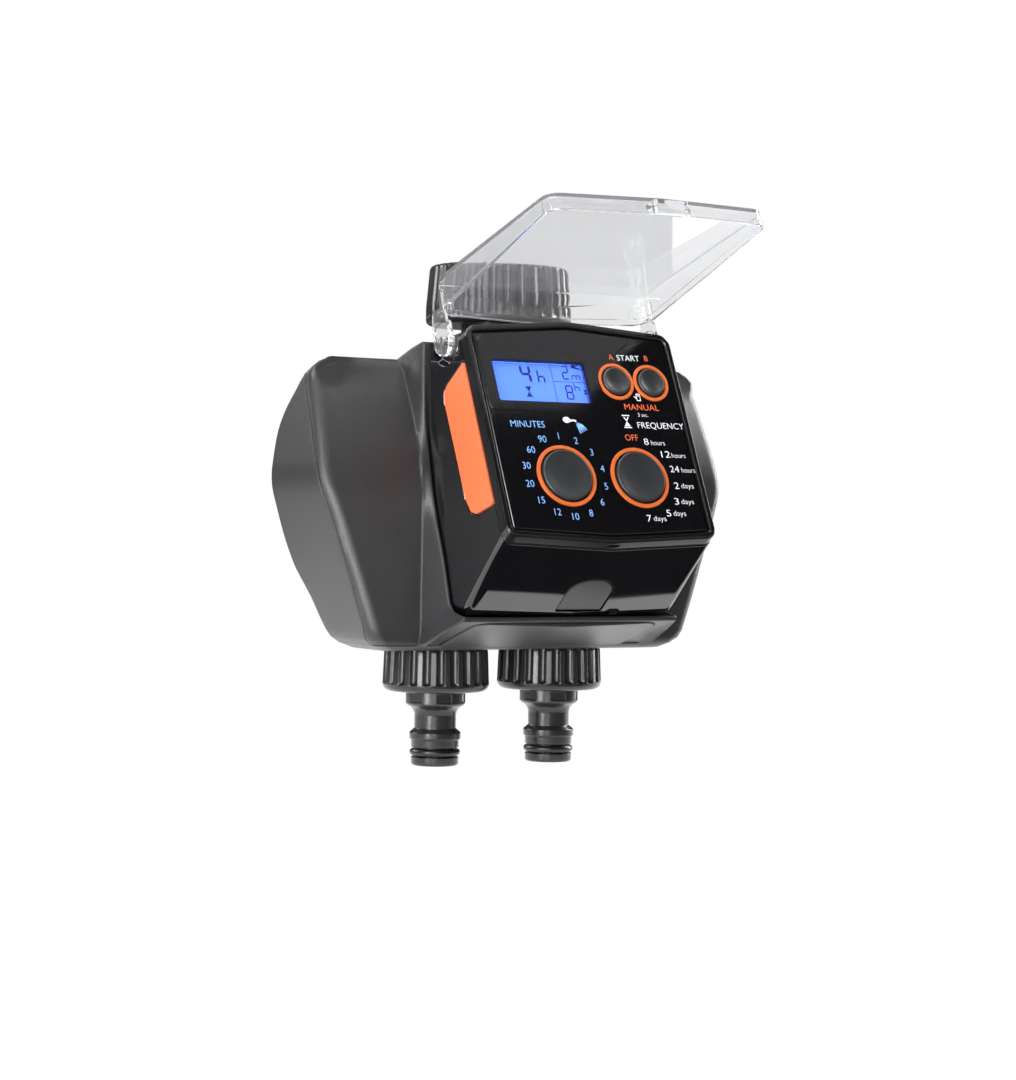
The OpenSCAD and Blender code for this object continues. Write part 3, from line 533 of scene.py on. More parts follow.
rear_shell = to_object("rear_shell_moulding", body_solid(0))
boolean(rear_shell, body_solid(WALL))
boolean(rear_shell, seam_zone(SEAM_GAP))
boolean(rear_shell, chin(), "UNION")
boolean(rear_shell, INLET_HOLE)
for x in OUTLETS:
    boolean(rear_shell, rod((x, 0, 30), (x, 0, 46), 13.8, 64))
posts = to_object("posts", joined(*[rod((x, -1.8, z), (x, 40, z), 4.6, 32) for x, z, depth in POSTS]))
boolean(posts, body_solid(0.5), "INTERSECT")
boolean(rear_shell, take_mesh(posts), "UNION")
for x, z, depth in POSTS:
    boolean(rear_shell, rod((x, depth - 8, z), (x, 60, z), 3.4, 32))
    boolean(rear_shell, rod((x, -20, z), (x, 60, z), 1.9, 24))
finish_piece(rear_shell, GREY, "body", ["rear_shell"])

# ---------- inlet nut and hose adaptors ----------

NUT_LOW = UNIT_H - 20.2
NUT_FLUTES = (32, 0.95, 1.35, NUT_LOW + 2.6, UNIT_H + 9, 1.8)
ADAPTOR_FLUTES = (24, 0.95, 1.25, 27.2, 60, 1.6)
CREST_R, ROOT_R, PITCH = 15.15, 16.4, 2.31  # of the nut's inside thread
inner = [(CREST_R, UNIT_H)]
for k in range(4):
    z = UNIT_H - 0.9 - PITCH * k
    inner += [(CREST_R, z), (ROOT_R, z - 0.6), (ROOT_R, z - 0.9), (CREST_R, z - 1.5)]
inner += [(CREST_R, UNIT_H - 11.9), (15.8, UNIT_H - 11.9), (15.8, NUT_LOW + 2.3), (12.58, NUT_LOW + 2.3),
          (12.58, NUT_LOW)]
outer = [(22.6, NUT_LOW), (23.5, NUT_LOW + 0.25), (24.2, NUT_LOW + 0.8), (24.45, NUT_LOW + 1.6)]
for k in range(14):
    z = NUT_LOW + 2.4 + k * 1.25
    outer.append((24.5 - max(0.0, z - NUT_LOW - 6) * 0.085, z, 1.0))
outer += [(23.25, UNIT_H - 0.9, 0.8), (22.9, UNIT_H - 0.35, 0.4), (22.3, UNIT_H), (16.6, UNIT_H)]
nut = to_object("inlet_nut_moulding", lathe(outer + inner, 384, True, NUT_FLUTES))
finish_piece(nut, SATIN, "inlet_nut", ["inlet_nut"], 38)

nipple = [(4.8, 0), (7, 0), (7.5, 0.14), (7.83, 0.5), (7.95, 0.95), (7.95, 2.8), (6.1, 3), (6.1, 5.9),
          (7.95, 6.1), (8.05, 8.6), (8.3, 8.7), (8.5, 8.9), (8.6, 9.2), (8.6, 10.8), (8.45, 11.1),
          (7.15, 12.2), (7, 12.5), (7, 16.6)]
nipple += arc(10.6, 16.6, 3.6, range(170, 100, -12))
nipple += [(9.7, 20.4), (9.96, 20.7), (9.96, 24.8), (14.6, 24.8)]
nipple += arc(15.4, 27.2, 2.4, (-75, -60, -45, -30, -15, 0), 1.0)
nipple += [(17.78 - (z - 27.6) * 0.04, z, 1.0)
           for z in (27.6, 28, 28.4, 28.8, 29.3, 30, 31, 33, 35, 37, 38.2)]
nipple += [(17.0, 38.9, 0.6), (16.6, 39.2), (12.7, 39.2), (12.7, 27.3), (4.8, 27.3)]
ring_section = arc(7.29, 4.45, 1.15, range(0, 360, 20))
for x, letter in zip(OUTLETS, "ab"):
    place = Matrix.Translation((x, 0, 0)) @ Matrix.Rotation(math.radians(7.5), 4, "Z")
    adaptor = to_object(f"hose_adaptor_{letter}_moulding",
                        moved(lathe(nipple, 384, True, ADAPTOR_FLUTES), place))
    # wrench notches in the collar above the nipple
    for turn in (0, 60, 120):
        cut = Matrix.Translation((x, 0, 22.6)) @ Matrix.Rotation(math.radians(turn + 20), 4, "Z")
        for s in (-1, 1):
            boolean(adaptor, moved(block(s * 9.35, s * 12, -2.6, 2.6, -1.4, 1.4), cut))
    finish_piece(adaptor, SATIN, "body", [f"hose_adaptor_{letter}"], 38)
rings = joined(*[moved(lathe(ring_section, 96, True), Matrix.Translation((x, 0, 0))) for x in OUTLETS])
finish_piece(to_object("nipple_oring_pair", rings), RUBBER, "body", ["nipple_orings"], 80)

# ---------- console ----------

HALF, PANEL_HALF = 38.5, 38.3


def section(low, high, half, drop, rise, radii):
    """A console cross-section from low to high (y, z), with a shallow ridge across each of its ends."""
    low, high = Vector(low), Vector(high)
    up, height = (high - low).normalized(), (high - low).length
    corners = [(-half, 0), (0, -drop), (half, 0), (half, height), (0, height + rise), (-half, height)]
    flat_points = rounded(corners, [radii[0], 14, radii[0], radii[1], 14, radii[1]], 5)
    return [Vector((p.x, low.x + up.x * p.y, low.y + up.y * p.y)) for p in flat_points]


def console_solid(inset):
    """The console's closed form, from its front to its back, shrunk by inset."""
    h, r = HALF - inset, max(0.8, 3.4 - inset)
    q = max(0.8, 4.4 - inset)
    lows = [(-74.56, 74.81), (-66.5, 67.1), (-58.6, 59.55), (-53.2, 54.4), (-52.1, 53.4), (-51.2, 52.7),
            (-50.2, 52.2), (-49, 52), (-38, 52), (-24, 52)]
    highs = [(-43.05, 142.1), (-41, 141.9), (-38.6, 141.6), (-36.6, 141.4), (-35.4, 141.25), (-34.2, 141.1),
             (-33, 141), (-31.8, 140.9), (-27.5, 140.4), (-24, 140)]
    drops = [2.1, 1.8, 1.4, 1.1, 1.0, 0.8, 0.5, 0.3, 0.2, 0.2]
    rings = []
    for k, (low, high, drop) in enumerate(zip(lows, highs, drops)):
        up = (Vector(high) - Vector(low)).normalized() * inset
        rings.append(section(Vector(low) + up, Vector(high) - up, h, drop, 3.3 - 1.8 * k / 9, (r, q)))
    if inset:
        rings[0] = [p + Vector((0, -3, 1.4)) for p in rings[0]]
        rings[-1] = [p + Vector((0, 6, 0)) for p in rings[-1]]
    return loft(rings)


def around_pivot(dy, dn):
    """A point in the side view, offset from the hinge pivot along the panel and out of it."""
    p = PIVOT + PANEL.to_3x3() @ Vector((0, dy, dn))
    return p.y, p.z


def sideways(s, outline, stations):
    """A skin on side s over a side-view outline, given as x and growth for each station."""
    return loft([side(s * x, grow(outline, d)) for x, d in stations])


POCKET_CUT = ((37.0, 0), (37.2, 0.1), (38.7, 1.7), (42, 1.7))
BADGE_CUT = ((37.9, 0.7), (38.2, 0.75), (38.8, 1.3), (42, 1.3))
BADGE_FORM = ((37.95, 0), (38.75, 0), (38.9, -0.1), (38.97, -0.3))
badge_outline = rounded([(-68.5, 87.2), (-58, 84), (-54.4, 84.6), (-50.7, 88.5), (-35.6, 119.4),
                         (-35.2, 122.5), (-37.3, 125.1), (-47.7, 132)], [1.2, 3, 1.5, 3, 3, 1.5, 2.5, 0.6], 4)
# hollow in the console's side for the lid's arm
pocket = [around_pivot(-6.6, 6.6), around_pivot(-6.9, 4.5)]
pocket += [around_pivot(6.7 * math.sin(math.radians(a)), 6.7 * math.cos(math.radians(a)))
           for a in range(-95, -260, -12)]
pocket += [around_pivot(14, -15), around_pivot(24, -9), around_pivot(22, 7.1)]
pocket = rounded(pocket, [3, 2] + [0] * 14 + [0, 0, 0], 3)
if sum(a.x * b.y - b.x * a.y for a, b in zip(pocket, pocket[1:] + pocket[:1])) < 0:
    pocket.reverse()

console = to_object("console_shell_moulding", console_solid(0))
boolean(console, console_solid(2.0))
bosses = [across(3.0, [around_pivot(11 * math.sin(t), 11 * math.cos(t))
                       for t in [2 * math.pi * k / 32 for k in range(32)]], s * 34.9) for s in (-1, 1)]
trim = to_object("trim", joined(*bosses))
boolean(trim, console_solid(0.6), "INTERSECT")
boolean(console, take_mesh(trim), "UNION")
for s in (-1, 1):
    boolean(console, sideways(s, pocket, POCKET_CUT))
    boolean(console, sideways(s, badge_outline, BADGE_CUT))
# LOWER places a point given on the console's lower front, up from the release tab's top edge
LOWER = Matrix.Translation((1.5, -64.45, 63.6)) @ Matrix.Rotation(math.radians(139.8), 4, "X")
tab_outline = rounded([(-8.3, -15.2), (8.3, -15.2), (8.3, 0), (-8.3, 0)], [0.5, 0.5, 7.2, 7.2], 8)
boolean(console, moved(prism(grow(tab_outline, 0.35), -9, 3), LOWER))
notch = rounded([(11.6, -18.6), (17.4, -18.6), (17.4, -14.4), (11.6, -14.4)], [0.3, 0.3, 2.4, 2.4], 5)
boolean(console, moved(prism(notch, -1.6, 5), LOWER @ Matrix.Translation((-1.5, 0, 0))))
tidy_mesh(console, 0.3)
finish_piece(console, BLACK, "console", ["console_shell"], 30, 100)

badges = joined(*[sideways(s, badge_outline, BADGE_FORM) for s in (-1, 1)])
finish_piece(to_object("side_badge_pair", badges), BADGE, "console", ["side_badges"], 50)

tab = to_object("release_tab_moulding", moved(joined(prism(tab_outline, -2.4, 0.2, 0.35),
                                                      block(-4, 4, -13.4, -11.4, -4.4, -2.3),
                                                      block(-6.6, -5.4, -8, -4, -7, -2.3),
                                                      block(5.4, 6.6, -8, -4, -7, -2.3)), LOWER))
finish_piece(tab, SATIN, "release_tab", ["release_tab"], 40)

# ---------- bezel and control panel ----------

PANEL_RADII = [3.4, 14, 3.4, 4.4, 14, 4.4]


def panel_outline(drop=0.0):
    """The panel's outline, its lower edge moved down by drop."""
    return rounded([(-PANEL_HALF, -37.8 - drop), (0, -39.95 - drop), (PANEL_HALF, -37.8 - drop),
                    (PANEL_HALF, 35.3), (0, 38.6), (-PANEL_HALF, 35.3)], PANEL_RADII, 6)


# the bezel's section, as height, growth of the outline and drop of its lower edge
steps = [(-4.38, 0, 1.25), (-3.95, 0.1, 0.95), (-3.7, 0.1, 0.62), (-0.75, 0, 0.12), (-0.35, -0.12, 0.06),
         (-0.1, -0.4, 0), (0, -0.8, 0), (0, -1.35, 0), (-0.12, -1.7, 0), (-0.5, -2.0, 0), (-1.7, -2.15, 0),
         (-1.7, -2.7, 0), (-1.9, -3.2, 0), (-2.7, -4.2, 0), (-4.38, -4.4, 0)]
rim = [flat(grow(panel_outline(drop), d), n) for n, d, drop in steps]
bezel_piece = to_object("bezel_moulding", moved(loft(rim + rim[:1], False, False), PANEL))
catch_slot = rounded([(-2.3, -2.9), (2.3, -2.9), (2.3, -1.5), (-2.3, -1.5)], 0.6, 4)
slot_place = (PANEL @ Matrix.Translation((0, -42.5, 0)) @ Matrix.Rotation(math.radians(-90), 4, "X")
              @ Matrix.Scale(-1, 4, (0, 1, 0)))
boolean(bezel_piece, moved(prism(catch_slot, 0, 3), slot_place))
finish_piece(bezel_piece, BEZEL_BLACK, "console", ["bezel"], 30, 75)

# height of the printed face, then centres of the dials and buttons, and the display's window
FACE = -0.6
MINUTES, FREQUENCY, BUTTON_A, BUTTON_B = (-12.6, -17.0), (14.4, -17.1), (13.9, 17.3), (27.2, 17.3)
LCD_BOX = (-30.7, 2.8, 9.1, 23.3)
slab = prism(grow(panel_outline(), -2.75), -2.6, FACE, 0.55)
face = to_object("control_panel_moulding", moved(slab, PANEL))
plateau = rounded([(-34.9, 5.3), (-2.4, 5.2), (3.2, 8.7), (7.4, 13.4), (15.2, 26.0), (21.4, 31.3),
                   (22.4, 33.1), (0, 35.1), (-34.9, 32.0)], [2, 5, 4, 5, 6, 2, 1, 6, 3], 5)
boolean(face, moved(prism(plateau, -1.2, FACE + 0.4, 0.4), PANEL), "UNION")
# holes through the panel, then the seats of the coloured rings
for low, dial_r, button_r in ((-8, 9.05, 5.1), (-1.6, 10.65, 6.65)):
    for at, r in ((MINUTES, dial_r), (FREQUENCY, dial_r), (BUTTON_A, button_r), (BUTTON_B, button_r)):
        boolean(face, moved(rod((*at, low), (*at, 3), r, 64), PANEL))
x0, x1, y0, y1 = LCD_BOX
window = rounded([(x0, y0), (x1, y0), (x1, y1), (x0, y1)], 0.5, 3)
window_cut = [flat(grow(window, d), n) for n, d in ((-9, 0), (-0.75, 0), (0.1, 0.35), (3, 0.35))]
boolean(face, moved(loft(window_cut), PANEL))
finish_piece(face, PANEL_BLACK, "console", ["control_panel"], 30)

glass = to_object("lcd_window_pane", moved(prism(grow(window, -0.12), -2.3, -1.1, 0.15), PANEL))
finish_piece(glass, GLASS, "console", ["lcd_window"], 30)
plate = block(x0 - 1.8, x1 + 1.8, y0 - 1.8, y1 + 1.8, -5.3, -2.75)
finish_piece(to_object("lcd_glass_plate", moved(plate, PANEL)), LCD, "console", ["lcd_glass"], 30)


def ring_mesh(at, outer_r, inner_r):
    profile = [(inner_r, -1.55), (outer_r, -1.55), (outer_r, -0.4), (outer_r - 0.12, -0.22),
               (outer_r - 0.35, -0.16), (inner_r + 0.35, -0.16), (inner_r + 0.1, -0.22), (inner_r, -0.4)]
    return moved(lathe(profile, 96, True), PANEL @ Matrix.Translation((at[0], at[1], 0)))


for name, places, outer_r, inner_r in (("dial_ring", (MINUTES, FREQUENCY), 10.6, 9.25),
                                       ("button_ring", (BUTTON_A, BUTTON_B), 6.6, 5.4)):
    pair = to_object(f"{name}_pair", joined(*[ring_mesh(at, outer_r, inner_r) for at in places]))
    finish_piece(pair, ORANGE, "console", [f"{name}s"], 35)


def knob(r, low, high, dish, edge):
    """A round knob whose top is a shallow dish inside a soft rim."""
    profile = [(0.001, low), (r, low), (r, high - edge)]
    for degrees in (20, 45, 70, 90):
        a = math.radians(degrees)
        profile.append((r - edge * (1 - math.cos(a)), high - edge + edge * math.sin(a)))
    inner_r = r - edge - 0.25
    for k in range(8):
        t = k / 7
        profile.append((max(0.001, inner_r * (1 - t)), high - dish * (1 - (1 - t) ** 2) ** 0.9))
    return lathe(profile, 96)


for name, at, body in (("minutes", MINUTES, "minutes_dial"), ("frequency", FREQUENCY, "frequency_dial")):
    dial = moved(knob(8.7, -7.2, 0.7, 0.75, 0.5), PANEL @ Matrix.Translation((*at, 0)))
    finish_piece(to_object(f"dial_{name}_cap", dial), DIAL, body, [f"dial_{name}"], 40)
for letter, at in (("a", BUTTON_A), ("b", BUTTON_B)):
    node = f"start_button_{letter}"
    flange = lathe([(0.001, -4.2), (5.8, -4.2), (5.8, -3.0), (0.001, -3.0)], 64)
    stem = lathe([(0.001, -5.3), (2.2, -5.3), (2.2, -4.1), (0.001, -4.1)], 48)
    cap = moved(joined(knob(4.9, -3.8, 0.4, 0.75, 0.55), flange, stem), PANEL @ Matrix.Translation((*at, 0)))
    finish_piece(to_object(f"{node}_cap", cap), DIAL, node, [node], 40)

# ---------- printing ----------

INK = 0.03  # how far the printing stands off its face
CAPITAL = 0.73  # height of a capital letter in the built-in font
prints = {"white": [], "blue": [], "orange": []}


def words(text, x, y, cap, colour, width=None, weight=-0.008, level=FACE):
    """Adds lettering centred on (x, y), its capitals cap high, squeezed to width if that is given."""
    curve = bpy.data.curves.new("text", "FONT")
    curve.body, curve.align_x, curve.align_y, curve.size = text, "CENTER", "CENTER", 1.0
    curve.offset, curve.resolution_u = weight, 3
    obj = bpy.data.objects.new("text", curve)
    bpy.context.scene.collection.objects.link(obj)
    bpy.context.view_layer.update()
    mesh = bpy.data.meshes.new_from_object(obj.evaluated_get(bpy.context.evaluated_depsgraph_get()))
    verts, faces = [v.co.copy() for v in mesh.vertices], [tuple(p.vertices) for p in mesh.polygons]
    bpy.data.objects.remove(obj)
    bpy.data.curves.remove(curve)
    bpy.data.meshes.remove(mesh)
    tall = cap / CAPITAL
    span = max(v.x for v in verts) - min(v.x for v in verts)
    wide = width / span if width else tall * 0.92
    middle = (max(v.y for v in verts) + min(v.y for v in verts)) / 2
    placed = [Vector((x + v.x * wide, y + (v.y - middle) * tall, level + INK)) for v in verts]
    prints[colour].append((placed, faces))


def shape(points, colour):
    """Adds a printed patch."""
    prints[colour].append(([Vector((x, y, FACE + INK)) for x, y in points], [tuple(range(len(points)))]))


def box(x0, y0, x1, y1, colour):
    shape([(x0, y0), (x1, y0), (x1, y1), (x0, y1)], colour)


def oval(x, y, r, squeeze, colour, steps=16):
    shape([(x + r * math.cos(2 * math.pi * k / steps), y + squeeze * r * math.sin(2 * math.pi * k / steps))
           for k in range(steps)], colour)


STEP = 360 / 14
for k, minutes in enumerate((1, 2, 3, 4, 5, 6, 8, 10, 12, 15, 20, 30, 60, 90)):
    a = math.radians(89 - STEP * k)
    words(str(minutes), MINUTES[0] + 14.15 * math.cos(a), MINUTES[1] + 14.0 * math.sin(a), 2.5, "blue")
words("OFF", FREQUENCY[0] + 0.5, FREQUENCY[1] + 14.3, 2.3, "orange")
for x, y, number, unit in ((20.1, -4.1, "8", "hours"), (26.0, -8.5, "12", "hours"),
                           (28.4, -13.7, "24", "hours"), (27.7, -19.6, "2", "days"),
                           (26.3, -25.2, "3", "days"), (22.2, -29.4, "5", "days"), (14.3, -31.3, "7", "days")):
    half, wide = 0.85 * len(number), 5.2 if unit == "hours" else 4.7
    words(number, x, y, 2.45, "white", width=2 * half)
    words(unit, x + half + 0.9 + wide / 2, y - 0.3, 1.9, "white", width=wide, weight=-0.012)
words("MINUTES", -22.7, 0.9, 2.4, "blue", width=12.3)
words("FREQUENCY", 27.0, 1.6, 2.3, "white", width=17.6)
words("MANUAL", 21.4, 8.3, 2.3, "orange", width=13.0)
words("3 sec.", 21.3, 5.5, 1.4, "white")
words("START", 20.7, 26.2, 2.2, "white", width=8.6)
words("A", 13.9, 26.1, 2.2, "orange", level=FACE + 0.41)
words("B", 27.6, 26.4, 2.2, "orange")
# hourglass
box(13.1, 5.3, 16.0, 4.95, "white")
box(13.1, 0.6, 16.0, 0.95, "white")
shape([(13.5, 4.6), (14.4, 3.05), (14.7, 3.05), (15.6, 4.6), (15.2, 4.6), (14.55, 3.5), (13.9, 4.6)], "white")
shape([(13.4, 1.2), (15.7, 1.2), (14.7, 2.8), (14.4, 2.8)], "white")
# watering spout with its jets
oval(-8.0, 2.8, 1.35, 0.8, "white")
shape([(-6.9, 2.9), (-5.0, 3.0), (-4.4, 2.5), (-4.6, 2.1), (-5.4, 2.4), (-6.9, 2.2)], "white")
for k in range(4):
    start, end = Vector((-4.9 + 0.2 * k, 1.75 + 0.1 * k)), Vector((-3.9 + 0.85 * k, -2.0 + 0.45 * k))
    bulge = (start + end) / 2 + Vector((0.25, 0.45))
    jet = [(start.x, start.y), (end.x, end.y), (end.x + 0.3, end.y + 0.08), (bulge.x + 0.15, bulge.y + 0.1)]
    shape(jet, "blue")
# open hand between the buttons
for edges in ((20.3, 10.6, 21.9, 10.9), (20.3, 10.9, 20.55, 12.9), (21.65, 10.9, 21.9, 12.9),
              (20.8, 12.2, 21.0, 13.4), (21.2, 12.2, 21.4, 13.4), (20.3, 12.9, 20.95, 13.1),
              (21.2, 12.9, 21.9, 13.1)):
    box(*edges, "white")
shape([(20.3, 11.7), (19.6, 12.3), (19.4, 12.1), (20.3, 11.2)], "white")
for colour, finish in (("white", PRINT_WHITE), ("blue", PRINT_BLUE), ("orange", PRINT_ORANGE)):
    ink = to_object(f"printing_{colour}", moved(joined(*prints[colour]), PANEL), False)
    finish_piece(ink, finish, "console")

# display contents: segment digits, dividers and small signs
SEGMENT_LEVEL = -2.72
segments = []
ON = {"2": "abged", "4": "fgbc", "8": "abcdefg", "h": "fegc", "m": "ecg"}


def mark(points):
    segments.append(([Vector((x, y, SEGMENT_LEVEL)) for x, y in points], [tuple(range(len(points)))]))


def bar(ax, ay, bx, by, t):
    """A display segment of thickness t, pointed at both ends."""
    a, b = Vector((ax, ay)), Vector((bx, by))
    u = (b - a).normalized()
    v = Vector((-u.y, u.x)) * t / 2
    mark([a, a + u * t / 2 + v, b - u * t / 2 + v, b, b - u * t / 2 - v, a + u * t / 2 - v])


def digit(char, x, y, w, h, t):
    """A seven-segment sign with its lower left corner at (x, y)."""
    m, g = y + h / 2, t * 0.1
    ends = {"a": (x, y + h, x + w, y + h), "g": (x, m, x + w, m), "d": (x, y, x + w, y),
            "f": (x, m + g, x, y + h - g), "b": (x + w, m + g, x + w, y + h - g),
            "e": (x, y + g, x, m - g), "c": (x + w, y + g, x + w, m - g)}
    for s in ON[char]:
        bar(*ends[s], t)


for sign in (("4", -19.6, 16.8, 3.0, 6.0, 0.95), ("h", -13.7, 16.8, 2.2, 4.6, 0.6),
             ("2", -4.3, 18.6, 2.1, 4.7, 0.55), ("8", -4.3, 11.4, 2.3, 4.7, 0.55),
             ("h", -0.9, 14.3, 1.7, 3.0, 0.4), ("m", -1.0, 18.4, 1.5, 3.0, 0.4)):
    digit(*sign)
for line in ((0.5, 19.9, 1.9, 19.9, 0.4), (1.9, 18.4, 1.9, 19.9, 0.4), (-8.4, 9.2, -8.4, 24.6, 0.18),
             (-8.4, 17.5, 4.4, 17.5, 0.18)):
    bar(*line)
for x, y, w, h in ((-18.2, 11.6, 2.4, 3.8), (2.6, 13.2, 1.1, 1.7)):
    mark([(x - w / 2, y), (x + w / 2, y), (x + 0.1, y + h / 2), (x - 0.1, y + h / 2)])
    mark([(x - w / 2, y + h), (x - 0.1, y + h / 2), (x + 0.1, y + h / 2), (x + w / 2, y + h)])
mark([(-0.6, 22.6), (1.0, 22.4), (2.6, 21.9), (2.5, 22.5), (1.1, 23.1), (0.4, 23.7), (-0.4, 23.5)])
signs = to_object("lcd_segments", moved(joined(*segments), PANEL), False)
finish_piece(signs, LCD_INK, "console")

# ---------- lid ----------

def lid_outline(d):
    """The lid's outline, grown by d. It narrows a little towards its free end."""
    free = PANEL_HALF - 0.5
    return grow(rounded([(-free, -38.3), (0, -40.35), (free, -38.3), (PANEL_HALF, 35.3), (0, 38.6),
                         (-PANEL_HALF, 35.3)], [3.4, 14, 3.4, 5.6, 14, 5.6], 8), d)


# side views of the lid's outside and of its hollow, as pairs of up and out
OUTSIDE = [(-44, -3.9), (43, -3.9), (43, -1.5), (36.9, 4.4), (34.5, 6.4), (26, 6.5), (-44, 1.3)]
INSIDE = [(-50, -9), (50, -9), (50, -2.4), (36.4, 3.6), (34.2, 5.2), (26, 5.3), (-50, -0.2)]
HOLLOW = grow(rounded([(-PANEL_HALF, -38.4), (0, -40.5), (PANEL_HALF, -38.4), (PANEL_HALF, 35.3), (0, 38.6),
                       (-PANEL_HALF, 35.3)], [3, 14, 3, 4.4, 14, 4.4], 8), 0.45)


def lid_block(outline, profile, edge):
    """An outline and a side view crossed, with rounded edges."""
    obj = to_object("lid_block", prism(outline, -12, 14))
    boolean(obj, across(60, profile), "INTERSECT")
    tidy_mesh(obj, 0.5)
    bevel(obj, edge, 3, 24)
    return take_mesh(obj)


lid = to_object("clear_lid_moulding", lid_block(lid_outline(1.6), OUTSIDE, 0.8))
band = to_object("band", prism(lid_outline(1.95), -3.9, -1.7, 0.3, 2, True))
boolean(lid, take_mesh(band), "UNION")
boolean(lid, lid_block(HOLLOW, INSIDE, 0.7))
arm = rounded([(31.3, -13.2), (41.5, -13.2), (40.6, -8), (39.4, -2.6), (33, -2.6), (31.3, -6)],
              [0, 0, 2, 1, 1, 2], 4)
foot = rounded([(31.9, -13.2), (41.0, -13.2), (40.3, -8.4), (39.1, -7.3), (31.9, -7.3)], [0, 0, 1, 1, 1.5], 3)
boss = [(PIVOT_UP + 5.2 * math.cos(2 * math.pi * k / 40), PIVOT_IN + 5.2 * math.sin(2 * math.pi * k / 40))
        for k in range(40)]
for s in (-1, 1):
    for k, p in enumerate(lid_outline(1.3)[28:35:2]):
        boolean(lid, rod((s * p.x, p.y, -3.8), (s * p.x, p.y - 0.2, 2.4 - 0.3 * k), 0.75, 16), "UNION")
    boolean(lid, loft([side(s * 38.95, arm), side(s * 39.9, arm)]), "UNION")
    boolean(lid, loft([side(s * 37.6, foot), side(s * 39.1, foot)]), "UNION")
    boolean(lid, loft([side(s * 37.55, grow(boss, -0.3)), side(s * 37.85, boss), side(s * 39.5, boss),
                       side(s * 39.9, grow(boss, -0.4))]), "UNION")
    boolean(lid, rod((s * 37, PIVOT_UP, PIVOT_IN), (s * 41, PIVOT_UP, PIVOT_IN), 1.28, 32))
for inner_y, radii, steps, low, high, edge in ((-41.1, [1.5, 1.5, 0.2, 0.2], 4, -3.55, -1.4, 0.5),
                                               (-44.4, 0.8, 3, -6, -3.3, 0)):
    tongue = rounded([(-6.5, -46.6), (6.5, -46.6), (6.5, inner_y), (-6.5, inner_y)], radii, steps)
    boolean(lid, prism(tongue, low, high, edge), "UNION")
lid.data.transform(OPEN)
finish_piece(lid, CLEAR, "lid", ["lid"], 30)

# ---------- finishes of the inner pieces, which keep their CAD shapes ----------

for finish, nodes in (
        (STEEL, "shell_screws manifold_screws bonnet_screws console_screws plunger_a plunger_b "
                "plunger_spring_a plunger_spring_b tact_switches lid_pins"),
        (NATURAL, "manifold inlet_filter valve_bonnet_a valve_bonnet_b backlight dial_minutes_shaft "
                  "dial_frequency_shaft"),
        (RUBBER, "inlet_washer diaphragm_a diaphragm_b adaptor_washers console_seal battery_snap"),
        (SATIN, "inlet_tailpiece rotary_switches"), (WINDING, "coil_a coil_b"), (CELL, "battery"),
        (BRASS, "valve_contacts contact_pads"), (LEAD, "coil_leads battery_leads"), (BOARD, "circuit_board"),
        (PANEL_BLACK, "console_back")):
    for name in nodes.split():
        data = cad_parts[name].data
        data.materials.clear()
        data.materials.append(finish)

# ---------- studio ----------

# Lengths in this section are in metres, in the row frame.
FLOOR_Z = (ROW @ Vector((0, 0, 0))).z
AHEAD = Vector((0.48753, 0.87291, 0.01852))  # the way the camera looks


def seen_directly(tree, seen, behind_clear, otherwise):
    """Mixes shaders so that camera rays see one, rays through clear plastic another, and the rest a third."""
    path = tree.nodes.new("ShaderNodeLightPath")
    through = tree.nodes.new("ShaderNodeMath")
    through.operation, through.inputs[1].default_value = "GREATER_THAN", 0.5
    tree.links.new(path.outputs["Transmission Depth"], through.inputs[0])
    first, second = tree.nodes.new("ShaderNodeMixShader"), tree.nodes.new("ShaderNodeMixShader")
    tree.links.new(through.outputs[0], first.inputs[0])
    tree.links.new(otherwise, first.inputs[1])
    tree.links.new(behind_clear, first.inputs[2])
    tree.links.new(path.outputs["Is Camera Ray"], second.inputs[0])
    tree.links.new(first.outputs[0], second.inputs[1])
    tree.links.new(seen, second.inputs[2])
    return second.outputs[0], path


def glow(tree, level):
    node = tree.nodes.new("ShaderNodeEmission")
    node.inputs["Color"].default_value = (level, level, level * 1.005, 1)
    return node.outputs[0]


# Brightness for camera rays, then for rays through the clear lid, which is a painted shade that darkens what
# lies behind the lid so the lid reads grey, then for the world as glossy rays see it, which is a painted dark
# reflection.
PAPER, PAPER_SHADED_BEHIND_CLEAR, WORLD_DARK_IN_GLOSS = 1.0, 0.84, 0.02


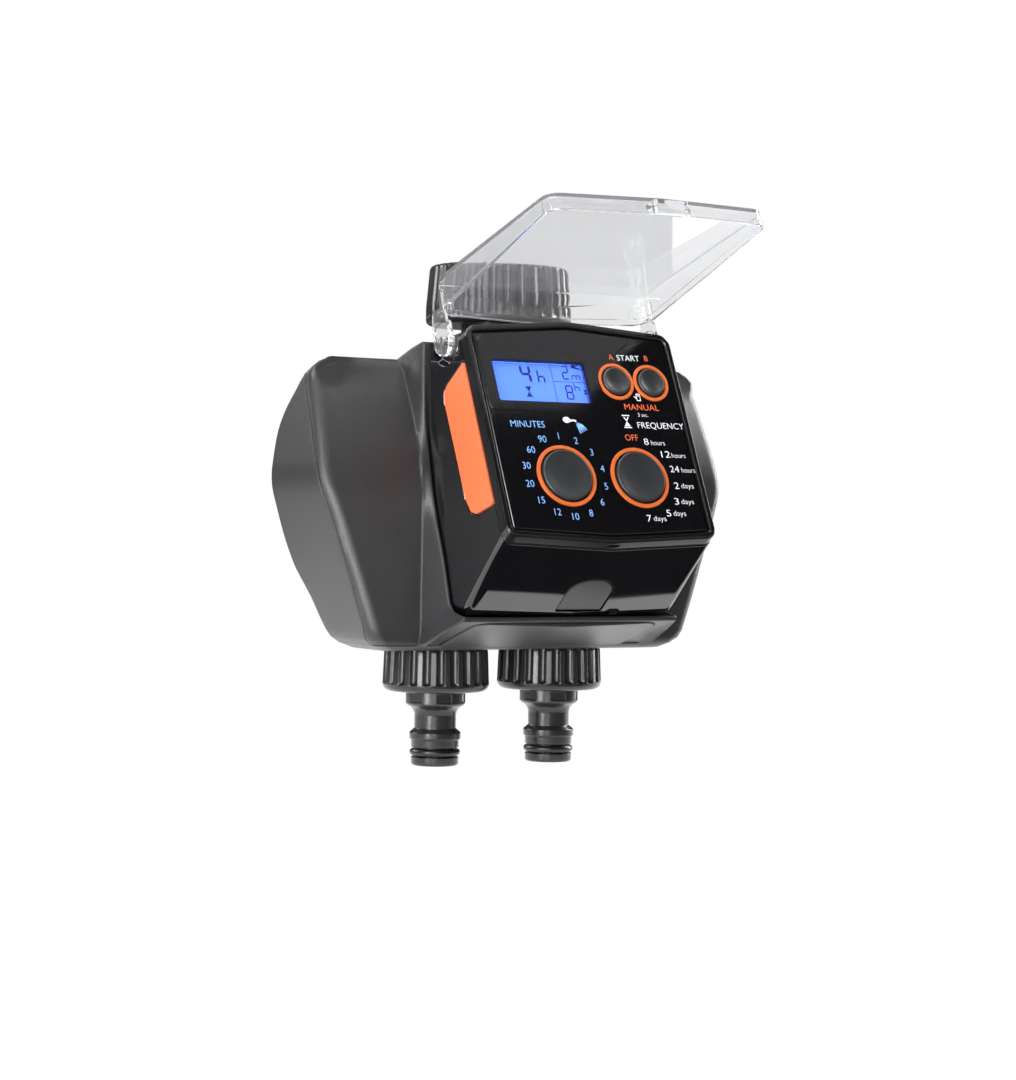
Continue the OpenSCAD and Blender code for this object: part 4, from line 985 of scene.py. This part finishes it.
def paper():
    """White backdrop paper, plain white to the camera. Glossy rays see an emitting card on it instead, painted
    reflections: bright under the object, to its left and far in front, with a strong painted highlight strip
    towards the front left, and dark just in front of it and far behind.
    """
    m = material("backdrop_paper", (0.8, 0.8, 0.8), 0.6, grain=0.02, spread=0.01)
    tree = m.node_tree
    nodes, links = tree.nodes, tree.links
    where, split = nodes.new("ShaderNodeNewGeometry"), nodes.new("ShaderNodeSeparateXYZ")
    links.new(where.outputs["Position"], split.inputs[0])

    def sums(kind, a, b):
        node = nodes.new("ShaderNodeMath")
        node.operation = kind
        for socket, value in zip(node.inputs, (a, b)):
            if isinstance(value, (int, float)):
                socket.default_value = value
            else:
                links.new(value, socket)
        return node.outputs[0]

    def fade(value, *ends):
        node = nodes.new("ShaderNodeMapRange")
        node.interpolation_type = "SMOOTHSTEP"
        for key, end in zip(("From Min", "From Max", "To Min", "To Max"), ends):
            node.inputs[key].default_value = end
        links.new(value, node.inputs["Value"])
        return node.outputs[0]

    x, y = split.outputs["X"], split.outputs["Y"]
    # Levels of the painted reflection card: painted reflections of a bright floor under the object, to its
    # left and far in front.
    under = fade(sums("ADD", y, fade(x, 0.02, 0.048, 0.0, -0.005)), -0.0545, -0.0535, 0.03, 1.7)
    left = fade(x, -0.12, -0.08, 1.5, 0.0)
    front = fade(y, -0.2, -0.1, 0.6, 0.0)
    toward = sums("ADD", sums("MULTIPLY", x, -0.87), sums("MULTIPLY", y, -0.49))
    aside = sums("ABSOLUTE", sums("SUBTRACT", sums("MULTIPLY", y, 0.87), sums("MULTIPLY", x, 0.49)), 0)
    wedge = sums("SUBTRACT", sums("MULTIPLY", toward, 0.14), aside)
    # A narrow, very bright wedge towards the front left: a painted highlight on the nipples, the nut flutes
    # and the lobe edges.
    strip = sums("MULTIPLY", fade(wedge, -0.012, 0.02, 0.0, 16.0), fade(toward, 0.1, 0.16, 0.0, 1.0))
    level = sums("MAXIMUM", sums("MAXIMUM", under, left), sums("MAXIMUM", front, strip))
    level = sums("MULTIPLY", level, fade(y, 0.15, 0.5, 1.0, 0.06))
    painted_reflections = nodes.new("ShaderNodeEmission")
    links.new(level, painted_reflections.inputs["Strength"])
    path = nodes.new("ShaderNodeLightPath")
    plain = nodes.new("ShaderNodeMixShader")
    links.new(path.outputs["Is Glossy Ray"], plain.inputs[0])
    links.new(nodes["Principled BSDF"].outputs[0], plain.inputs[1])
    links.new(painted_reflections.outputs[0], plain.inputs[2])
    result, _ = seen_directly(tree, glow(tree, PAPER), glow(tree, PAPER_SHADED_BEHIND_CLEAR), plain.outputs[0])
    links.new(result, nodes["Material Output"].inputs[0])
    return m


FLAT_END, CURVE_R, HALF_WIDTH = 0.6, 0.9, 3.2
sweep = [(-3.0, 0.0), (FLAT_END, 0.0)]
sweep += [(FLAT_END + CURVE_R * math.sin(math.radians(a)), CURVE_R - CURVE_R * math.cos(math.radians(a)))
          for a in range(10, 91, 10)]
sweep += [(FLAT_END + CURVE_R, 3.5)]
direction = AHEAD.xy
normal = Vector((direction.y, -direction.x))
verts, faces = [], []
for i, (along, up) in enumerate(sweep):
    for s in (-1, 1):
        p = direction * along + normal * (HALF_WIDTH * s)
        verts.append(Vector((p.x, p.y, FLOOR_Z + up)))
    if i:
        faces.append((2 * i - 2, 2 * i - 1, 2 * i + 1, 2 * i))
backdrop = to_object("studio_backdrop", (verts, faces), False)
for p in backdrop.data.polygons:
    p.use_smooth = True
backdrop.data.materials.append(paper())

world = bpy.data.worlds.new("studio")
bpy.context.scene.world = world
world.use_nodes = True
ambient = world.node_tree.nodes["Background"]
ambient.inputs[0].default_value = (0.9, 0.94, 1.0, 1)
ambient.inputs[1].default_value = 0.16
# Camera rays see a white world. Rays through the clear lid see a painted shade of it. Glossy rays see it
# nearly black as a painted dark reflection. All other rays see a dim ambient.
shades = []
for strength in (PAPER, PAPER_SHADED_BEHIND_CLEAR, WORLD_DARK_IN_GLOSS):
    shade_node = world.node_tree.nodes.new("ShaderNodeBackground")
    shade_node.inputs[0].default_value = (1, 1, 1, 1)
    shade_node.inputs[1].default_value = strength
    shades.append(shade_node.outputs[0])
quiet = world.node_tree.nodes.new("ShaderNodeMixShader")
result, rays = seen_directly(world.node_tree, shades[0], shades[1], quiet.outputs[0])
world.node_tree.links.new(rays.outputs["Is Glossy Ray"], quiet.inputs[0])
world.node_tree.links.new(ambient.outputs[0], quiet.inputs[1])
world.node_tree.links.new(shades[2], quiet.inputs[2])
world.node_tree.links.new(result, world.node_tree.nodes["World Output"].inputs[0])


def soft_light(name, place, target, size, power, size_y=None):
    data = bpy.data.lights.new(name, "AREA")
    data.shape, data.size, data.size_y, data.energy = "RECTANGLE", size, size_y or size, power
    obj = bpy.data.objects.new(name, data)
    bpy.context.scene.collection.objects.link(obj)
    obj.location = place
    obj.rotation_mode = "QUATERNION"
    obj.rotation_quaternion = (Vector(target) - Vector(place)).to_track_quat("-Z", "Y")


soft_light("left_strip", (-1.2, -0.64, 0.3), (0, 0, -0.08), 0.3, 20, 1.0)
soft_light("right_strip", (1.15, 0.2, 0.3), (0, 0, -0.08), 0.35, 16, 1.0)
soft_light("top_box", (-0.15, 0.0, 1.25), (0, 0, -0.02), 1.3, 20)
soft_light("front_left", (-0.75, -1.1, 0.05), (0, 0, -0.09), 0.45, 7)
soft_light("back_left", (-0.7, 1.0, 0.5), (0, 0, -0.06), 0.5, 7)

# ---------- camera ----------

HEADING, ROLL = 0.5094, 0.0141
EYE = ROW @ Vector((-430.48, -779.03, 84.18))
ahead = AHEAD.normalized()
level = Vector((math.cos(HEADING), -math.sin(HEADING), 0))
above = level.cross(ahead)
right = level * math.cos(ROLL) + above * math.sin(ROLL)
upward = above * math.cos(ROLL) - level * math.sin(ROLL)
camera = bpy.data.cameras.new("photo_view")
camera.sensor_fit, camera.sensor_width = "HORIZONTAL", 36
camera.lens, camera.shift_y = 93.09, -0.0736
camera.clip_start, camera.clip_end = 0.01, 20
eye = bpy.data.objects.new("photo_view", camera)
bpy.context.scene.collection.objects.link(eye)
turn = Matrix((right, upward, -ahead)).transposed().to_4x4()
eye.matrix_world = Matrix.Translation(EYE) @ turn
bpy.context.scene.camera = eye
bpy.context.scene.view_settings.view_transform = "Standard"
